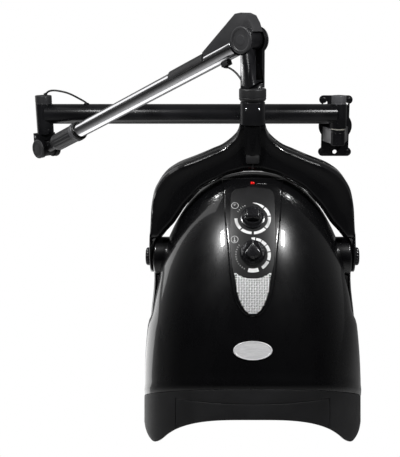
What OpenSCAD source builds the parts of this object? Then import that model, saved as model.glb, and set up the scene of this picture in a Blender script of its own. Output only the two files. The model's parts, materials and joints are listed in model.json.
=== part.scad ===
// Wall-mounted salon hood dryer: wall bracket, swing arm, balanced lift arm, yoke and hood.
// Origin: on the wall, behind the swing arm's pivot and level with its tube. -Y is away from the wall.

/* [Wall bracket] */
// Width of the wall plate
plate_w = 70; // [60:1:84]
// Height of the wall plate
plate_h = 128; // [124:1:140]
// Thickness of the wall plate
plate_t = 5; // [4:0.5:6]
// Distance from the wall to the swing arm's pivot
wall_reach = 57; // [54:1:70]

/* [Swing arm] */
// Outside diameter of the swing arm's tube
arm_d = 40; // [36:1:42]
// Length of the swing arm between its two pivots
arm_len = 600; // [500:5:700]

/* [Lift arm] */
// Length of the lift arm between its two pivots
lift_len = 590; // [540:5:640]
// Outside diameter of the chrome tube
lift_d = 28; // [27:0.5:29]
// Angle of the lift arm above the horizontal, as stored
lift_elev = 22; // [10:1:30]
// Angle of the lift arm away from the wall, as stored
lift_plan = 40; // [36:1:60]

/* [Hood] */
// Largest radius of the hood
hood_r = 182; // [180:1:186]
// Height of the hood's dome above its widest circle
hood_h = 388; // [386:1:394]
// Lean of the hood's axis away from the person under it
hood_lean = 15; // [12:1:17]
// Wall thickness of the hood's shell
shell_t = 3; // [2.5:0.5:3]

/* [Controls] */
// Diameter of the timer knob's skirt
timer_d = 38; // [34:1:42]
// Diameter of the heat knob's skirt
heat_d = 40; // [34:1:42]

/* [Hidden] */
$fn = 96;

// Swing arm: two vertical sleeves joined by the tube
tube_wall = 2.5;
sleeve_r = 16.5;
sleeve_top = 20;
sleeve_bot = -29;
bush_r = 11;
shaft_r = 8;
run = 0.05;
cap_top = 38;
cup_bot = -64;
gap = 0.4;

// Lift arm: its pivots
pivot_z = -70;
lift_plan_len = lift_len * cos(lift_elev);
pin_r = 5;
knuckle_w = 24;
cheek_w = 7;
cheek_out = knuckle_w / 2 + gap + cheek_w;
fork_r = 18.5;
cap_t = 3;
up_x = -arm_len + lift_plan_len * cos(lift_plan);
up_y = -wall_reach - lift_plan_len * sin(lift_plan);
up_z = pivot_z + lift_len * sin(lift_elev);
sleeve_from = 34;
sleeve_to = 108;
tube_from = 40;
tube_to = lift_len - 30;

// Head post
head_reach = 6;
head_x = up_x + head_reach * cos(lift_plan);
head_y = up_y - head_reach * sin(lift_plan);
collar_top = 78;
collar_bot = 58;
spindle_r = 7;

// Yoke, its tilt axis and its arms
yoke_front = -10;
yoke_depth = 52;
yoke_wall = 3.5;
tilt_y = head_y + 16;
tilt_z = -202;
arm_in = 165.4;
arm_out = 170;
lug_in = 160;
lug_out = 165;
lug_r = 33;
bolt_r = 4;
yoke_outer = [[20, 22], [24, 8], [33, -3], [49, -15], [65, -22], [91, -33], [117, -43], [130, -50],
    [141, -58], [151, -70], [158, -83], [162, -98], [165, -116], [167, -141], [169, -165],
    [arm_out, -185], [arm_out, -230]];
yoke_inner = [[arm_in, -230], [arm_in, -166], [151, -165], [128, -139], [109.5, -112], [81.5, -82],
    [58, -69], [40, -60], [24, -56], [14, -54]];

// Hood: a turned dome that leans back, in its own frame
dome_y = head_y - 34;
dome_z = -442;
skirt_bot = -50;
dome_p = 2.3;
dome_q = 2.4;
dome_steps = 28;
cut_slope = 15;
cut_z = 6.6;
lip_bot = 14;
lip_top = 33;
lip_half = 40;

// Controls on the front of the dome
timer_at = 306;
heat_at = 253;
lamp_at = 362;
spindle_hole = 4;

// Wall bracket details
plate_mid_z = -31;
hole_x = 22;
hole_top_z = 17;
hole_low_z = -86;
hole_r = 4.5;
cup_r = 14.5;
washer_t = 2;
shaft_top = 28;
grommet_x = -arm_len + 87;
grommet_r = 4;
arm_cable_r = 1.9;
arm_route = [[-595, -57, 39.2], [-591.5, -57, 43.2], [-587, -57, 45.9],
    [-581.5, -57, 47], [-574.5, -57, 47],
    [-567, -57, 46], [-555, -57, 43.5], [-544, -57, 39.5], [-534, -57, 34.5], [-525, -57, 29.5],
    [-518, -57, 25.5], [-513, -57, 22]];

// Elbow and lift arm details
hub_bot = -40;
screw_z = -46;
knuckle_r = 16;
plug_len = 75;
lift_wall = 2.5;
lift_sleeve_r = 17;
ring_w = 10;
shroud_w = 24;
head_disc_r = 20;
head_cable_r = 1.6;
head_route = [[-219, -376.7, 109], [-213.5, -381.3, 107.2], [-207, -386.8, 103.5], [-201.2, -391.6, 98.5],
    [-196.6, -395.5, 93], [-193.4, -398.2, 88], [-191.8, -399.5, 83.5], [-191.4, -399.8, 79.4]];

// Head, neck and spine details
collar_r = 21.5;
spindle_bot = 26;
yoke_top = 22;
neck_r = 19.5;
screw_at = 46;
spine_r = 15.5;
spine_bot = -25;
knob_r = 15;

// Inside the hood
skirt_t = 3.5;
rim_z = 18;
bowl_r = 150;
bowl_h = 182;
duct_r = 69;
deck_z = 236;
motor_z = 286;
panel_t = 2.2;
badge_at = 111;
console_half = [[0, 165], [9, 168], [16, 175], [24, 197], [31, 223], [37, 266], [43, 300], [49, 355],
    [52, 372], [0, 372]];
grille_half = [[0, 168], [7, 170.5], [13, 177], [20, 197], [27, 226], [20, 219.5], [11, 216], [0, 215]];

// Radius of the dome at a height above its widest circle
function dome_r(z) = z <= 0 ? hood_r : hood_r * pow(1 - pow(z / hood_h, dome_p), 1 / dome_q);
// Height of the dome at a radius
function dome_h(r, grow) = (hood_h + grow)
    * pow(max(0, 1 - pow(r / (hood_r + grow), dome_q)), 1 / dome_p);
// Angle of the dome's surface normal above the hood's own horizontal
function dome_tilt(z) = atan((dome_r(z - 1) - dome_r(z + 1)) / 2);
// Profile of the dome, grown outwards
function dome_profile(grow) = [for (i = [0 : dome_steps])
    let (r = (hood_r + grow) * cos(i * 90 / dome_steps)) [r, dome_h(r, grow)]];

module at_elbow() {
    translate([-arm_len, -wall_reach, 0]) children();
}
module at_wall_pivot() {
    translate([0, -wall_reach, 0]) children();
}
// Frame of the lower pivot: X along the arm's plan direction, Y along its pin
module at_lower_pivot() {
    translate([-arm_len, -wall_reach, pivot_z]) rotate([0, 0, -lift_plan]) children();
}
// Frame of the lift arm: X along the arm, Z square to it
module along_lift() {
    at_lower_pivot() rotate([0, -lift_elev, 0]) children();
}
module at_upper_pivot() {
    translate([up_x, up_y, up_z]) rotate([0, 0, -lift_plan]) children();
}
module at_head() {
    translate([head_x, head_y, 0]) children();
}
module at_tilt() {
    translate([head_x, tilt_y, tilt_z]) children();
}
module in_hood() {
    translate([head_x, dome_y, dome_z]) rotate([-hood_lean, 0, 0]) children();
}
// Frame on the front of the dome: Z along the surface's normal
module on_front(z, x = 0) {
    in_hood() translate([x, -dome_r(z), z]) rotate([90 - dome_tilt(z), 0, 0]) children();
}
module tube(r_out, r_in, h) {
    difference() {
        cylinder(r = r_out, h = h);
        translate([0, 0, -1]) cylinder(r = r_in, h = h + 2);
    }
}
module pin_y(r, half) {
    rotate([90, 0, 0]) cylinder(r = r, h = 2 * half, center = true);
}
module rod_x(r, from, to) {
    translate([from, 0, 0]) rotate([0, 90, 0]) cylinder(r = r, h = to - from);
}
module both_sides() {
    children();
    mirror([0, 1, 0]) children();
}
// Straight cable stretches joined by balls, as one swept tube
function cable_ring(p, d, r, n) = let (l = norm(d), t = d / l, s = norm(cross(t, [0, 0, 1])) < 0.1 ?
    [1, 0, 0] : cross(t, [0, 0, 1]), a = s / norm(s), b = cross(t, a))
    [for (k = [0 : n - 1]) p + r * (cos(360 * k / n) * a + sin(360 * k / n) * b)];
module swept_cable(route, r, n = 8) {
    last = len(route) - 1;
    rings = [for (i = [0 : last]) cable_ring(route[i],
        route[min(i + 1, last)] - route[max(i - 1, 0)], r, n)];
    points = [for (ring = rings) for (p = ring) p];
    sides = [for (i = [0 : last - 1]) for (k = [0 : n - 1])
        [i * n + k, i * n + (k + 1) % n, (i + 1) * n + (k + 1) % n, (i + 1) * n + k]];
    start = [[for (k = [n - 1 : -1 : 0]) k]];
    end = [[for (k = [0 : n - 1]) last * n + k]];
    polyhedron(points, concat(sides, start, end));
}

module dome_solid(grow) {
    rotate_extrude() polygon(concat([[0, skirt_bot - 1], [hood_r + grow, skirt_bot - 1]],
        dome_profile(grow)));
}
// Everything above the sloping line where the gloss shell meets the skirt
module above_cut(shift = 0) {
    translate([0, 0, cut_z + shift]) rotate([-cut_slope, 0, 0])
        translate([-300, -300, 0]) cube([600, 600, 600]);
}
// Upright wedge around the hood's front, half_angle to each side
module front_wedge(half_angle, z_from, z_to) {
    translate([0, 0, z_from]) linear_extrude(z_to - z_from)
        polygon([[0, 0], 300 * [-sin(half_angle), -cos(half_angle)], [0, -400],
            300 * [sin(half_angle), -cos(half_angle)]]);
}
// Outline seen from the front, mirrored to both sides and pushed into the dome
module front_prism(half_outline) {
    n = len(half_outline);
    mirrored = [for (i = [n - 1 : -1 : 0]) [-half_outline[i][0], half_outline[i][1]]];
    rotate([90, 0, 0]) linear_extrude(260) polygon(concat(half_outline, mirrored));
}
module dome_skin(from, to) {
    difference() {
        dome_solid(to);
        dome_solid(from);
    }
}

// Wall bracket
module plate_outline() {
    difference() {
        union() {
            square([plate_w - 12, plate_h - 18], center = true);
            square([plate_w - 22, plate_h], center = true);
            for (x = [-1, 1], z = [-1, 1])
                translate([x * (plate_w / 2 - 9), z * (plate_h / 2 - 9)]) circle(r = 9);
            for (x = [-1, 1]) translate([x * (plate_w / 2 - 30), 0]) circle(r = 30);
        }
        for (x = [-1, 1]) translate([x * hole_x, hole_top_z - plate_mid_z]) circle(r = hole_r);
        translate([0, hole_low_z - plate_mid_z]) circle(r = hole_r);
    }
}
module wall_plate() {
    color("black") translate([0, 0, plate_mid_z]) rotate([90, 0, 0])
        linear_extrude(plate_t) plate_outline();
}
module bracket_cheeks() {
    color("silver") difference() {
        for (side = [-1, 1]) translate([0, 0, cup_bot + 2]) linear_extrude(30)
            polygon([[side * 27, -plate_t], [side * 22, -plate_t], [side * 8, 8 - wall_reach],
                [side * 12, 2 - wall_reach]]);
        at_wall_pivot() translate([0, 0, -100]) cylinder(r = cup_r, h = 200);
    }
}
module pivot_cup() {
    color("black") at_wall_pivot() difference() {
        translate([0, 0, cup_bot]) cylinder(r = cup_r, h = sleeve_bot - gap - washer_t - cup_bot);
        translate([0, 0, cup_bot + 4]) cylinder(r = shaft_r, h = 60);
    }
}
module wall_shaft() {
    color("silver") at_wall_pivot() translate([0, 0, cup_bot + 4])
        cylinder(r = shaft_r, h = shaft_top - cup_bot - 4);
}
module wall_washer() {
    color("ivory") at_wall_pivot() translate([0, 0, sleeve_bot - gap - washer_t])
        tube(cup_r, shaft_r + run, washer_t);
}

// Swing arm
module main_tube() {
    color("black") difference() {
        translate([0, -wall_reach, 0]) rod_x(arm_d / 2, 4 - arm_len, -4);
        translate([0, -wall_reach, 0]) rod_x(arm_d / 2 - tube_wall, 1 - arm_len, -1);
        at_elbow() translate([0, 0, -50]) cylinder(r = sleeve_r, h = 100);
        at_wall_pivot() translate([0, 0, -50]) cylinder(r = sleeve_r, h = 100);
        translate([grommet_x, -wall_reach, 0]) cylinder(r = grommet_r, h = 50);
    }
}
module end_sleeves() {
    color("black") for (x = [-arm_len, 0]) translate([x, -wall_reach, sleeve_bot])
        tube(sleeve_r, bush_r, sleeve_top - sleeve_bot);
}
module sleeve_bushes() {
    color("ivory") for (x = [-arm_len, 0]) translate([x, -wall_reach, sleeve_bot])
        tube(bush_r, shaft_r + run, sleeve_top - sleeve_bot);
}
module wall_cap() {
    color("dimgray") at_wall_pivot() difference() {
        translate([0, 0, sleeve_top]) cylinder(r = sleeve_r - 1.5, h = cap_top - sleeve_top);
        translate([0, 0, sleeve_top - 1]) cylinder(r = bush_r - 1, h = shaft_top - sleeve_top + 3);
    }
}
module tube_grommet() {
    color("black") translate([grommet_x, -wall_reach, arm_d / 2 - 3]) union() {
        cylinder(r = grommet_r, h = 3.4);
        translate([0, 0, 3.2]) cylinder(r = grommet_r + 1.5, h = 2.3);
    }
}
module arm_cable() {
    color("black") swept_cable(arm_route, arm_cable_r);
}

// Elbow, which turns about the arm's far sleeve
module fork_cheeks(disc_r, bar_from, bar_to, top) {
    both_sides() difference() {
        union() {
            translate([0, cheek_out, 0]) rotate([90, 0, 0]) cylinder(r = disc_r, h = cheek_w);
            translate([bar_from, cheek_out - cheek_w, 0]) cube([bar_to - bar_from, cheek_w, top]);
        }
        pin_y(pin_r, 60);
    }
}
module elbow_fork() {
    hub_top = sleeve_bot - gap - pivot_z;
    color("black") difference() {
        union() {
            at_lower_pivot() intersection() {
                fork_cheeks(fork_r, -15, 5, hub_bot - pivot_z + 1);
                translate([0, 0, -50]) cylinder(r = 27, h = 100);
            }
            at_elbow() translate([0, 0, hub_bot]) cylinder(r = sleeve_r, h = hub_top + pivot_z - hub_bot);
            at_lower_pivot() translate([12, -3, hub_top - 6]) cube([12, 6, 3]);
            at_lower_pivot() difference() {
                translate([-15, -knuckle_w / 2 - 1, 0]) cube([20, knuckle_w + 2, hub_bot - pivot_z + 1]);
                pin_y(fork_r - 0.5, 60);
            }
        }
        at_elbow() translate([0, 0, hub_bot]) cylinder(r = shaft_r, h = 60);
        at_lower_pivot() translate([-9, -cheek_out - 1, screw_z - pivot_z]) rotate([-90, 0, 0])
            cylinder(r = 2.5, h = 6);
    }
}
module elbow_shaft() {
    color("silver") at_elbow() translate([0, 0, hub_bot]) cylinder(r = shaft_r, h = shaft_top - hub_bot);
}
module elbow_cap() {
    color("dimgray") at_elbow() difference() {
        translate([0, 0, sleeve_top + gap]) cylinder(r = sleeve_r, h = cap_top - sleeve_top - gap);
        translate([0, 0, sleeve_top - 1]) cylinder(r = shaft_r, h = shaft_top - sleeve_top + 1);
    }
}
module fork_screw() {
    color("silver") at_lower_pivot() translate([-9, -cheek_out - 0.5, screw_z - pivot_z])
        rotate([-90, 0, 0]) cylinder(r = 2.5, h = 5);
}
module lower_pivot_pin() {
    color("silver") at_lower_pivot() pin_y(pin_r, cheek_out);
}
module pivot_caps(r) {
    both_sides() translate([0, cheek_out + cap_t, 0]) rotate([90, 0, 0]) cylinder(r = r, h = cap_t);
}
module lower_pivot_caps() {
    color("dimgray") at_lower_pivot() pivot_caps(fork_r + 0.5);
}

// Lift arm
module knuckle(plug_from, plug_to) {
    difference() {
        union() {
            pin_y(knuckle_r, knuckle_w / 2);
            rod_x(lift_d / 2 - lift_wall - 0.1, plug_from, plug_to);
        }
        pin_y(pin_r + run, 30);
    }
}
module lift_knuckle() {
    color("black") along_lift() knuckle(0, plug_len);
}
module upper_knuckle() {
    color("black") along_lift() translate([lift_len, 0, 0]) knuckle(-plug_len, 0);
}
module lift_sleeve() {
    color("dimgray") along_lift() rotate([0, 90, 0]) difference() {
        union() {
            translate([0, 0, sleeve_from]) cylinder(r1 = lift_sleeve_r - 4, r2 = lift_sleeve_r, h = 10);
            translate([0, 0, sleeve_from + 10])
                cylinder(r = lift_sleeve_r, h = sleeve_to - sleeve_from - 10);
        }
        translate([0, 0, sleeve_from - 1]) cylinder(r = lift_d / 2 - lift_wall, h = 200);
        translate([0, 0, tube_from]) cylinder(r = lift_d / 2, h = 200);
        for (i = [0 : 11]) rotate([0, 0, 30 * i]) translate([lift_sleeve_r + 0.4, 0, sleeve_from + 12])
            cylinder(r = 1.4, h = sleeve_to - sleeve_from - 16);
    }
}
module lift_ring() {
    color("gray") along_lift() translate([sleeve_to, 0, 0]) rotate([0, 90, 0])
        tube(lift_sleeve_r + 1.5, lift_d / 2, ring_w);
}
module lift_oring() {
    color("black") along_lift() translate([sleeve_to + ring_w + 2, 0, 0]) rotate([0, 90, 0])
        rotate_extrude() translate([lift_d / 2 + 2.1, 0]) circle(r = 2);
}
module chrome_tube() {
    color("gainsboro") along_lift() translate([tube_from, 0, 0]) rotate([0, 90, 0])
        tube(lift_d / 2, lift_d / 2 - lift_wall, tube_to - tube_from);
}
module balance_spring() {
    color("gray") along_lift() translate([plug_len, 0, 0]) rotate([0, 90, 0])
        tube(9, 6, lift_len - 2 * plug_len);
}
module tube_cover() {
    color("black") along_lift() difference() {
        rod_x(lift_d / 2 + 2.4, lift_len - 180, lift_len - 94);
        rod_x(lift_d / 2 + 0.1, lift_len - 200, lift_len - 80);
        translate([lift_len - 200, -40, -50]) cube([130, 80, 50]);
    }
}
module upper_shroud() {
    color("dimgray") along_lift() difference() {
        translate([lift_len, shroud_w / 2, 0]) rotate([90, 0, 0]) linear_extrude(shroud_w)
            polygon([[-92, 4], [-92, 15], [-4, 44], [8, 41], [17, 33], [20, 20], [20, 0], [-40, 0]]);
        rod_x(lift_d / 2 + 0.1, 0, lift_len);
        translate([lift_len, 0, 0]) pin_y(knuckle_r + 0.4, 40);
        translate([lift_len - 40, -40, -2]) cube([80, 80, 8]);
    }
}
module cable_clip() {
    color("black") along_lift() difference() {
        translate([lift_len - 66, -6, -lift_d / 2 - 6]) cube([14, 12, 16]);
        rod_x(lift_d / 2 + 0.05, 0, lift_len);
    }
}

// Head post, kept upright while the lift arm moves
module head_fork() {
    color("black") union() {
        at_upper_pivot() both_sides() difference() {
            union() {
                translate([0, cheek_out, 0]) rotate([90, 0, 0]) cylinder(r = head_disc_r, h = cheek_w);
                translate([head_reach - 8.5, cheek_out - cheek_w, collar_top + 8 - up_z])
                    cube([17, cheek_w, up_z - collar_top - 8]);
            }
            pin_y(pin_r, 60);
        }
        at_upper_pivot() difference() {
            translate([head_reach - 8.5, -cheek_out, collar_top + 8 - up_z])
                cube([17, cheek_out - 2.4, up_z - collar_top - 20]);
            pin_y(fork_r + 1.5, 60);
        }
        at_head() rotate([0, 0, -lift_plan]) translate([-8.5, -cheek_out, collar_top])
            cube([17, 2 * cheek_out, 12]);
    }
}
module upper_pivot_pin() {
    color("silver") at_upper_pivot() pin_y(pin_r, cheek_out);
}
module upper_pivot_caps() {
    color("gray") at_upper_pivot() pivot_caps(head_disc_r + 0.8);
}
module head_collar() {
    color("black") at_head() difference() {
        union() {
            translate([0, 0, collar_bot]) cylinder(r1 = 19.5, r2 = collar_r, h = 3);
            translate([0, 0, collar_bot + 3]) cylinder(r = collar_r, h = collar_top - collar_bot - 3);
        }
        translate([0, 0, collar_bot - 1]) cylinder(r = spindle_r, h = 14);
    }
}
module head_spindle() {
    color("silver") at_head() translate([0, 0, spindle_bot])
        cylinder(r = spindle_r, h = collar_bot + 13 - spindle_bot);
}
module head_cable() {
    color("black") swept_cable(head_route, head_cable_r);
}

// Yoke, which swivels about the head post's spindle
module yoke_outline() {
    right = concat(yoke_outer, yoke_inner);
    n = len(right);
    left = [for (i = [n - 1 : -1 : 0]) [-right[i][0], right[i][1]]];
    polygon(concat(right, left));
}
module yoke_slab(from, depth) {
    translate([head_x, head_y + from + depth, 0]) rotate([90, 0, 0]) linear_extrude(depth) children();
}
module neck_socket() {
    color("black") at_head() difference() {
        translate([0, 0, yoke_top]) cylinder(r = neck_r, h = collar_bot - gap - yoke_top);
        translate([0, 0, spindle_bot - 2]) cylinder(r = spindle_r + run, h = 60);
        for (x = [-9, 9]) translate([x, -neck_r - 1, screw_at]) rotate([-90, 0, 0])
            cylinder(r = 2.6, h = 9);
    }
}
module neck_screws() {
    color("silver") at_head() for (x = [-9, 9]) translate([x, -18.2, screw_at]) rotate([-90, 0, 0])
        cylinder(r = 2.6, h = 6.7);
}
module yoke_spine() {
    color("black") at_head() difference() {
        translate([0, 0, spine_bot]) cylinder(r = spine_r, h = yoke_top - spine_bot);
        translate([-30, yoke_front, spine_bot - 1]) cube([60, 60, 80]);
    }
}
module spine_plug() {
    color("black") at_head() difference() {
        union() {
            translate([0, 0, spine_bot - 14]) cylinder(r = spine_r - 1.5, h = 14);
            translate([0, yoke_front - 1.5, spine_bot - 24]) cylinder(r = 1.4, h = 12);
        }
        translate([-30, yoke_front, spine_bot - 25]) cube([60, 60, 80]);
    }
}
module yoke_shell() {
    color("black") difference() {
        intersection() {
            yoke_slab(yoke_front, yoke_depth) yoke_outline();
            union() {
                at_tilt() translate([-200, -100, 0]) cube([400, 200, 300]);
                at_tilt() rod_x(yoke_depth / 2, -200, 200);
            }
        }
        yoke_slab(yoke_front + yoke_wall, yoke_depth) offset(delta = -yoke_wall) yoke_outline();
        at_tilt() rod_x(bolt_r, -200, 200);
    }
}
module yoke_cover() {
    color("black") yoke_slab(yoke_front + yoke_depth - 2.5, 2.5) offset(delta = -yoke_wall) yoke_outline();
}
module tilt_bolts() {
    color("silver") at_tilt() for (side = [0, 1]) mirror([side, 0, 0])
        rod_x(bolt_r, lug_in - 4, arm_out + 4);
}
module tilt_knobs() {
    color("black") at_tilt() for (side = [0, 1]) mirror([side, 0, 0]) difference() {
        rod_x(knob_r, arm_out + gap, arm_out + 8);
        rod_x(bolt_r, arm_out, arm_out + 4);
        for (i = [0 : 11]) rotate([30 * i, 0, 0]) translate([0, 0, knob_r + 1])
            rod_x(2, arm_out, arm_out + 10);
    }
}

// Hood
module lug() {
    at_tilt() difference() {
        union() {
            rod_x(lug_r, 110, lug_out);
            translate([lug_in, -22, -104]) cube([lug_out - lug_in, 44, 104]);
        }
        rod_x(bolt_r + run, lug_in - 9, 200);
    }
}
module outer_shell() {
    color("black") difference() {
        in_hood() intersection() {
            dome_solid(0);
            above_cut();
        }
        in_hood() dome_solid(-shell_t);
        on_front(timer_at) translate([-12, -12, -20]) cube([24, 24, 40]);
        on_front(heat_at) translate([-12, -12, -20]) cube([24, 24, 40]);
        on_front(lamp_at) translate([-3.7, -2.7, -20]) cube([7.4, 5.4, 40]);
    }
}
// Boss and side strip that carry the dome on each tilt bolt
module side_lugs() {
    color("black") difference() {
        union() {
            lug();
            translate([2 * head_x, 0, 0]) mirror([1, 0, 0]) lug();
        }
        in_hood() dome_solid(0);
    }
}
module skirt_band() {
    difference() {
        dome_skin(-skirt_t, 0);
        above_cut(-0.3);
        translate([0, 0, skirt_bot - 50]) cylinder(r = 300, h = 50);
    }
}
module skirt() {
    color("dimgray") in_hood() difference() {
        skirt_band();
        front_wedge(36, skirt_bot - 5, lip_bot);
        front_wedge(lip_half + 0.3, lip_bot - 1, lip_top);
    }
}
module front_lip() {
    color("dimgray") in_hood() intersection() {
        skirt_band();
        front_wedge(lip_half, lip_bot, lip_top - 0.3);
    }
}
module rim_ring() {
    color("dimgray") in_hood() translate([0, 0, rim_z]) tube(hood_r - skirt_t - 0.9, bowl_r - 2, 3);
}
function bowl_profile(grow) = [for (i = [0 : 16]) let (r = (bowl_r + grow) * cos(i * 90 / 16))
    [r, rim_z + 3 + (bowl_h + grow) * pow(max(0, 1 - pow(r / (bowl_r + grow), 2.2)), 0.5)]];
module bowl_solid(grow) {
    rotate_extrude() polygon(concat([[0, rim_z + 3]], bowl_profile(grow)));
}
module inner_bowl() {
    color("dimgray") in_hood() difference() {
        bowl_solid(0);
        difference() {
            bowl_solid(-2);
            translate([0, 0, rim_z]) cylinder(r = 1, h = 0.5);
        }
        for (row = [0 : 2], i = [0 : 15]) rotate([0, 0, 22.5 * i + 11.25 * row])
            translate([0, 0, rim_z + 40 + 32 * row]) rod_x(4, 60, 200, $fn = 6);
    }
}
module heater_duct() {
    color("silver") in_hood() difference() {
        translate([0, 0, 150]) tube(duct_r, duct_r - 2, deck_z - 150);
        bowl_solid(0);
        for (i = [0 : 7]) rotate([0, 0, 45 * i + 22.5]) translate([0, 0, deck_z - 14]) rod_x(8, 40, 90);
    }
}
module heater_element() {
    color("orangered") in_hood() translate([0, 0, deck_z - 14]) union() {
        for (r = [28, 46]) rotate_extrude() translate([r, 0]) circle(r = 3);
        for (a = [0, 90]) rotate([0, 0, a]) rod_x(2, 2 - duct_r, duct_r - 2);
    }
}
module fan_deck() {
    color("silver") in_hood() union() {
        translate([0, 0, deck_z]) tube(96, 40, 3);
        translate([0, 0, motor_z - 3]) tube(36, 6, 3);
        for (i = [0 : 2]) rotate([0, 0, 120 * i + 30]) {
            translate([30, -7, motor_z - 3]) cube([52, 14, 3]);
            translate([79, -7, deck_z]) cube([3, 14, motor_z - deck_z]);
        }
    }
}
module motor() {
    color("gray") in_hood() difference() {
        translate([0, 0, motor_z]) cylinder(r = 32, h = 44);
        translate([0, 0, motor_z - 1]) cylinder(r = 3 + run, h = 25);
    }
}
module fan_wheel() {
    color("white") in_hood() translate([0, 0, deck_z + 8]) union() {
        cylinder(r = 60, h = 2);
        cylinder(r = 10, h = 20);
        cylinder(r = 3, h = motor_z - deck_z + 12);
        for (i = [0 : 17]) rotate([0, 0, 20 * i]) translate([46, -0.9, 1]) cube([13, 1.8, 24]);
    }
}
module console() {
    color("black") difference() {
        in_hood() intersection() {
            dome_skin(0, panel_t);
            front_prism(console_half);
        }
        on_front(timer_at) translate([0, 0, -20]) cylinder(r = spindle_hole, h = 40);
        on_front(heat_at) translate([0, 0, -20]) cylinder(r = spindle_hole, h = 40);
        on_front(lamp_at) translate([-3.7, -2.7, -20]) cube([7.4, 5.4, 40]);
    }
}
module mesh_grille() {
    color("silver") in_hood() intersection() {
        dome_skin(panel_t, panel_t + 1.2);
        front_prism(grille_half);
    }
}
module badge() {
    outline = [for (i = [0 : 39]) [29 * cos(9 * i), 14 * sin(9 * i)]];
    color("gainsboro") intersection() {
        in_hood() dome_skin(0, 1.6);
        on_front(badge_at) translate([0, 0, -15]) linear_extrude(30) polygon(outline);
    }
}
module timer_body() {
    color("ivory") on_front(timer_at) difference() {
        translate([-18, -18, -34]) cube([36, 36, 25]);
        translate([0, 0, -20]) cylinder(r = 3 + run, h = 40);
    }
}
module thermostat() {
    color("ivory") on_front(heat_at) difference() {
        translate([-14, -14, -30]) cube([28, 28, 21]);
        translate([0, 0, -20]) cylinder(r = 3 + run, h = 40);
    }
}
module signal_lamp() {
    color("red") on_front(lamp_at) translate([-3.5, -2.5, -10]) cube([7, 5, 13]);
}
module knob(d) {
    cylinder(d = d, h = 4);
    translate([0, 0, 3]) cylinder(d1 = d - 6, d2 = d - 10, h = 5);
    translate([-(d - 8) / 2, -5, 6]) cube([d - 8, 10, 10]);
    translate([0, 0, -22]) cylinder(r = 3, h = 24);
}
module timer_knob() {
    color("black") on_front(timer_at) translate([0, 0, panel_t + 1]) knob(timer_d);
}
module heat_knob() {
    color("black") on_front(heat_at) translate([0, 0, panel_t + 1]) rotate([0, 0, 90]) knob(heat_d);
}

wall_plate();
bracket_cheeks();
pivot_cup();
wall_shaft();
wall_washer();
main_tube();
end_sleeves();
sleeve_bushes();
wall_cap();
tube_grommet();
arm_cable();
elbow_fork();
elbow_shaft();
elbow_cap();
fork_screw();
lower_pivot_pin();
lower_pivot_caps();
lift_knuckle();
lift_sleeve();
lift_ring();
lift_oring();
chrome_tube();
balance_spring();
upper_knuckle();
tube_cover();
upper_shroud();
cable_clip();
head_fork();
upper_pivot_pin();
upper_pivot_caps();
head_collar();
head_spindle();
head_cable();
neck_socket();
neck_screws();
yoke_spine();
spine_plug();
yoke_shell();
yoke_cover();
tilt_bolts();
tilt_knobs();
outer_shell();
side_lugs();
skirt();
front_lip();
rim_ring();
inner_bowl();
heater_duct();
heater_element();
fan_deck();
motor();
fan_wheel();
console();
mesh_grille();
badge();
timer_body();
thermostat();
signal_lamp();
timer_knob();
heat_knob();
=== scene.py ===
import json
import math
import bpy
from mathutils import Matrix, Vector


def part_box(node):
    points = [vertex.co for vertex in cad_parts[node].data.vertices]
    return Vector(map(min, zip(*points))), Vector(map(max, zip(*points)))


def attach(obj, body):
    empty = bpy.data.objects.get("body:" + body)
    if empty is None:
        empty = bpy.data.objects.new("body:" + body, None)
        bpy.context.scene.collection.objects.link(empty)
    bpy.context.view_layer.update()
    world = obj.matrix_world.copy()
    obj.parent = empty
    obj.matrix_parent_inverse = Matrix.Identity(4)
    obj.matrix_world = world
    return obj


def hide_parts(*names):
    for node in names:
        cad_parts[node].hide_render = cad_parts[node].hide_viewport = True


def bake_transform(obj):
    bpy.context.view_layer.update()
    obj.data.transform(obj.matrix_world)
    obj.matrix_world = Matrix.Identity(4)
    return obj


bl_info = {
    "name": "Salon Hood Dryer",
    "version": (1, 0, 0),
    "blender": (4, 5, 0),
    "location": "View3D > Sidebar > Hood Dryer",
    "description": "Builds the visible pieces of a wall-mounted salon hood dryer around its CAD frame",
    "category": "Add Mesh",
}

import bmesh
import bpy
from bpy.props import FloatProperty, FloatVectorProperty, PointerProperty
from mathutils import Matrix, Vector

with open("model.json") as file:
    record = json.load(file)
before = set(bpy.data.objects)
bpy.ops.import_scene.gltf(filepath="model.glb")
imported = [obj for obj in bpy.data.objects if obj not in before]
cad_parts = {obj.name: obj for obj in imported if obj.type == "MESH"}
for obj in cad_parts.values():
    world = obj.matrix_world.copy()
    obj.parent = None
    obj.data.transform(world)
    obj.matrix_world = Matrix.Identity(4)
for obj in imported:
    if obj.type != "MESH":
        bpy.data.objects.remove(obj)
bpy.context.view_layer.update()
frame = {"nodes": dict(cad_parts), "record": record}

MM = 0.001
JOINTS = {j["name"]: j for j in frame["record"]["behaviour"]["joints"]}


# ---------------------------------------------------------------- frames of the object's own parts

def pivot(name):
    return Vector(JOINTS[name]["pos_m"])


def axes_at(origin, x, z):
    """A frame at a point from its X and Z directions."""
    x, z = Vector(x).normalized(), Vector(z).normalized()
    y = z.cross(x).normalized()
    x = y.cross(z)
    turn = Matrix((x, y, z)).transposed().to_4x4()
    return Matrix.Translation(origin) @ turn


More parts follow.
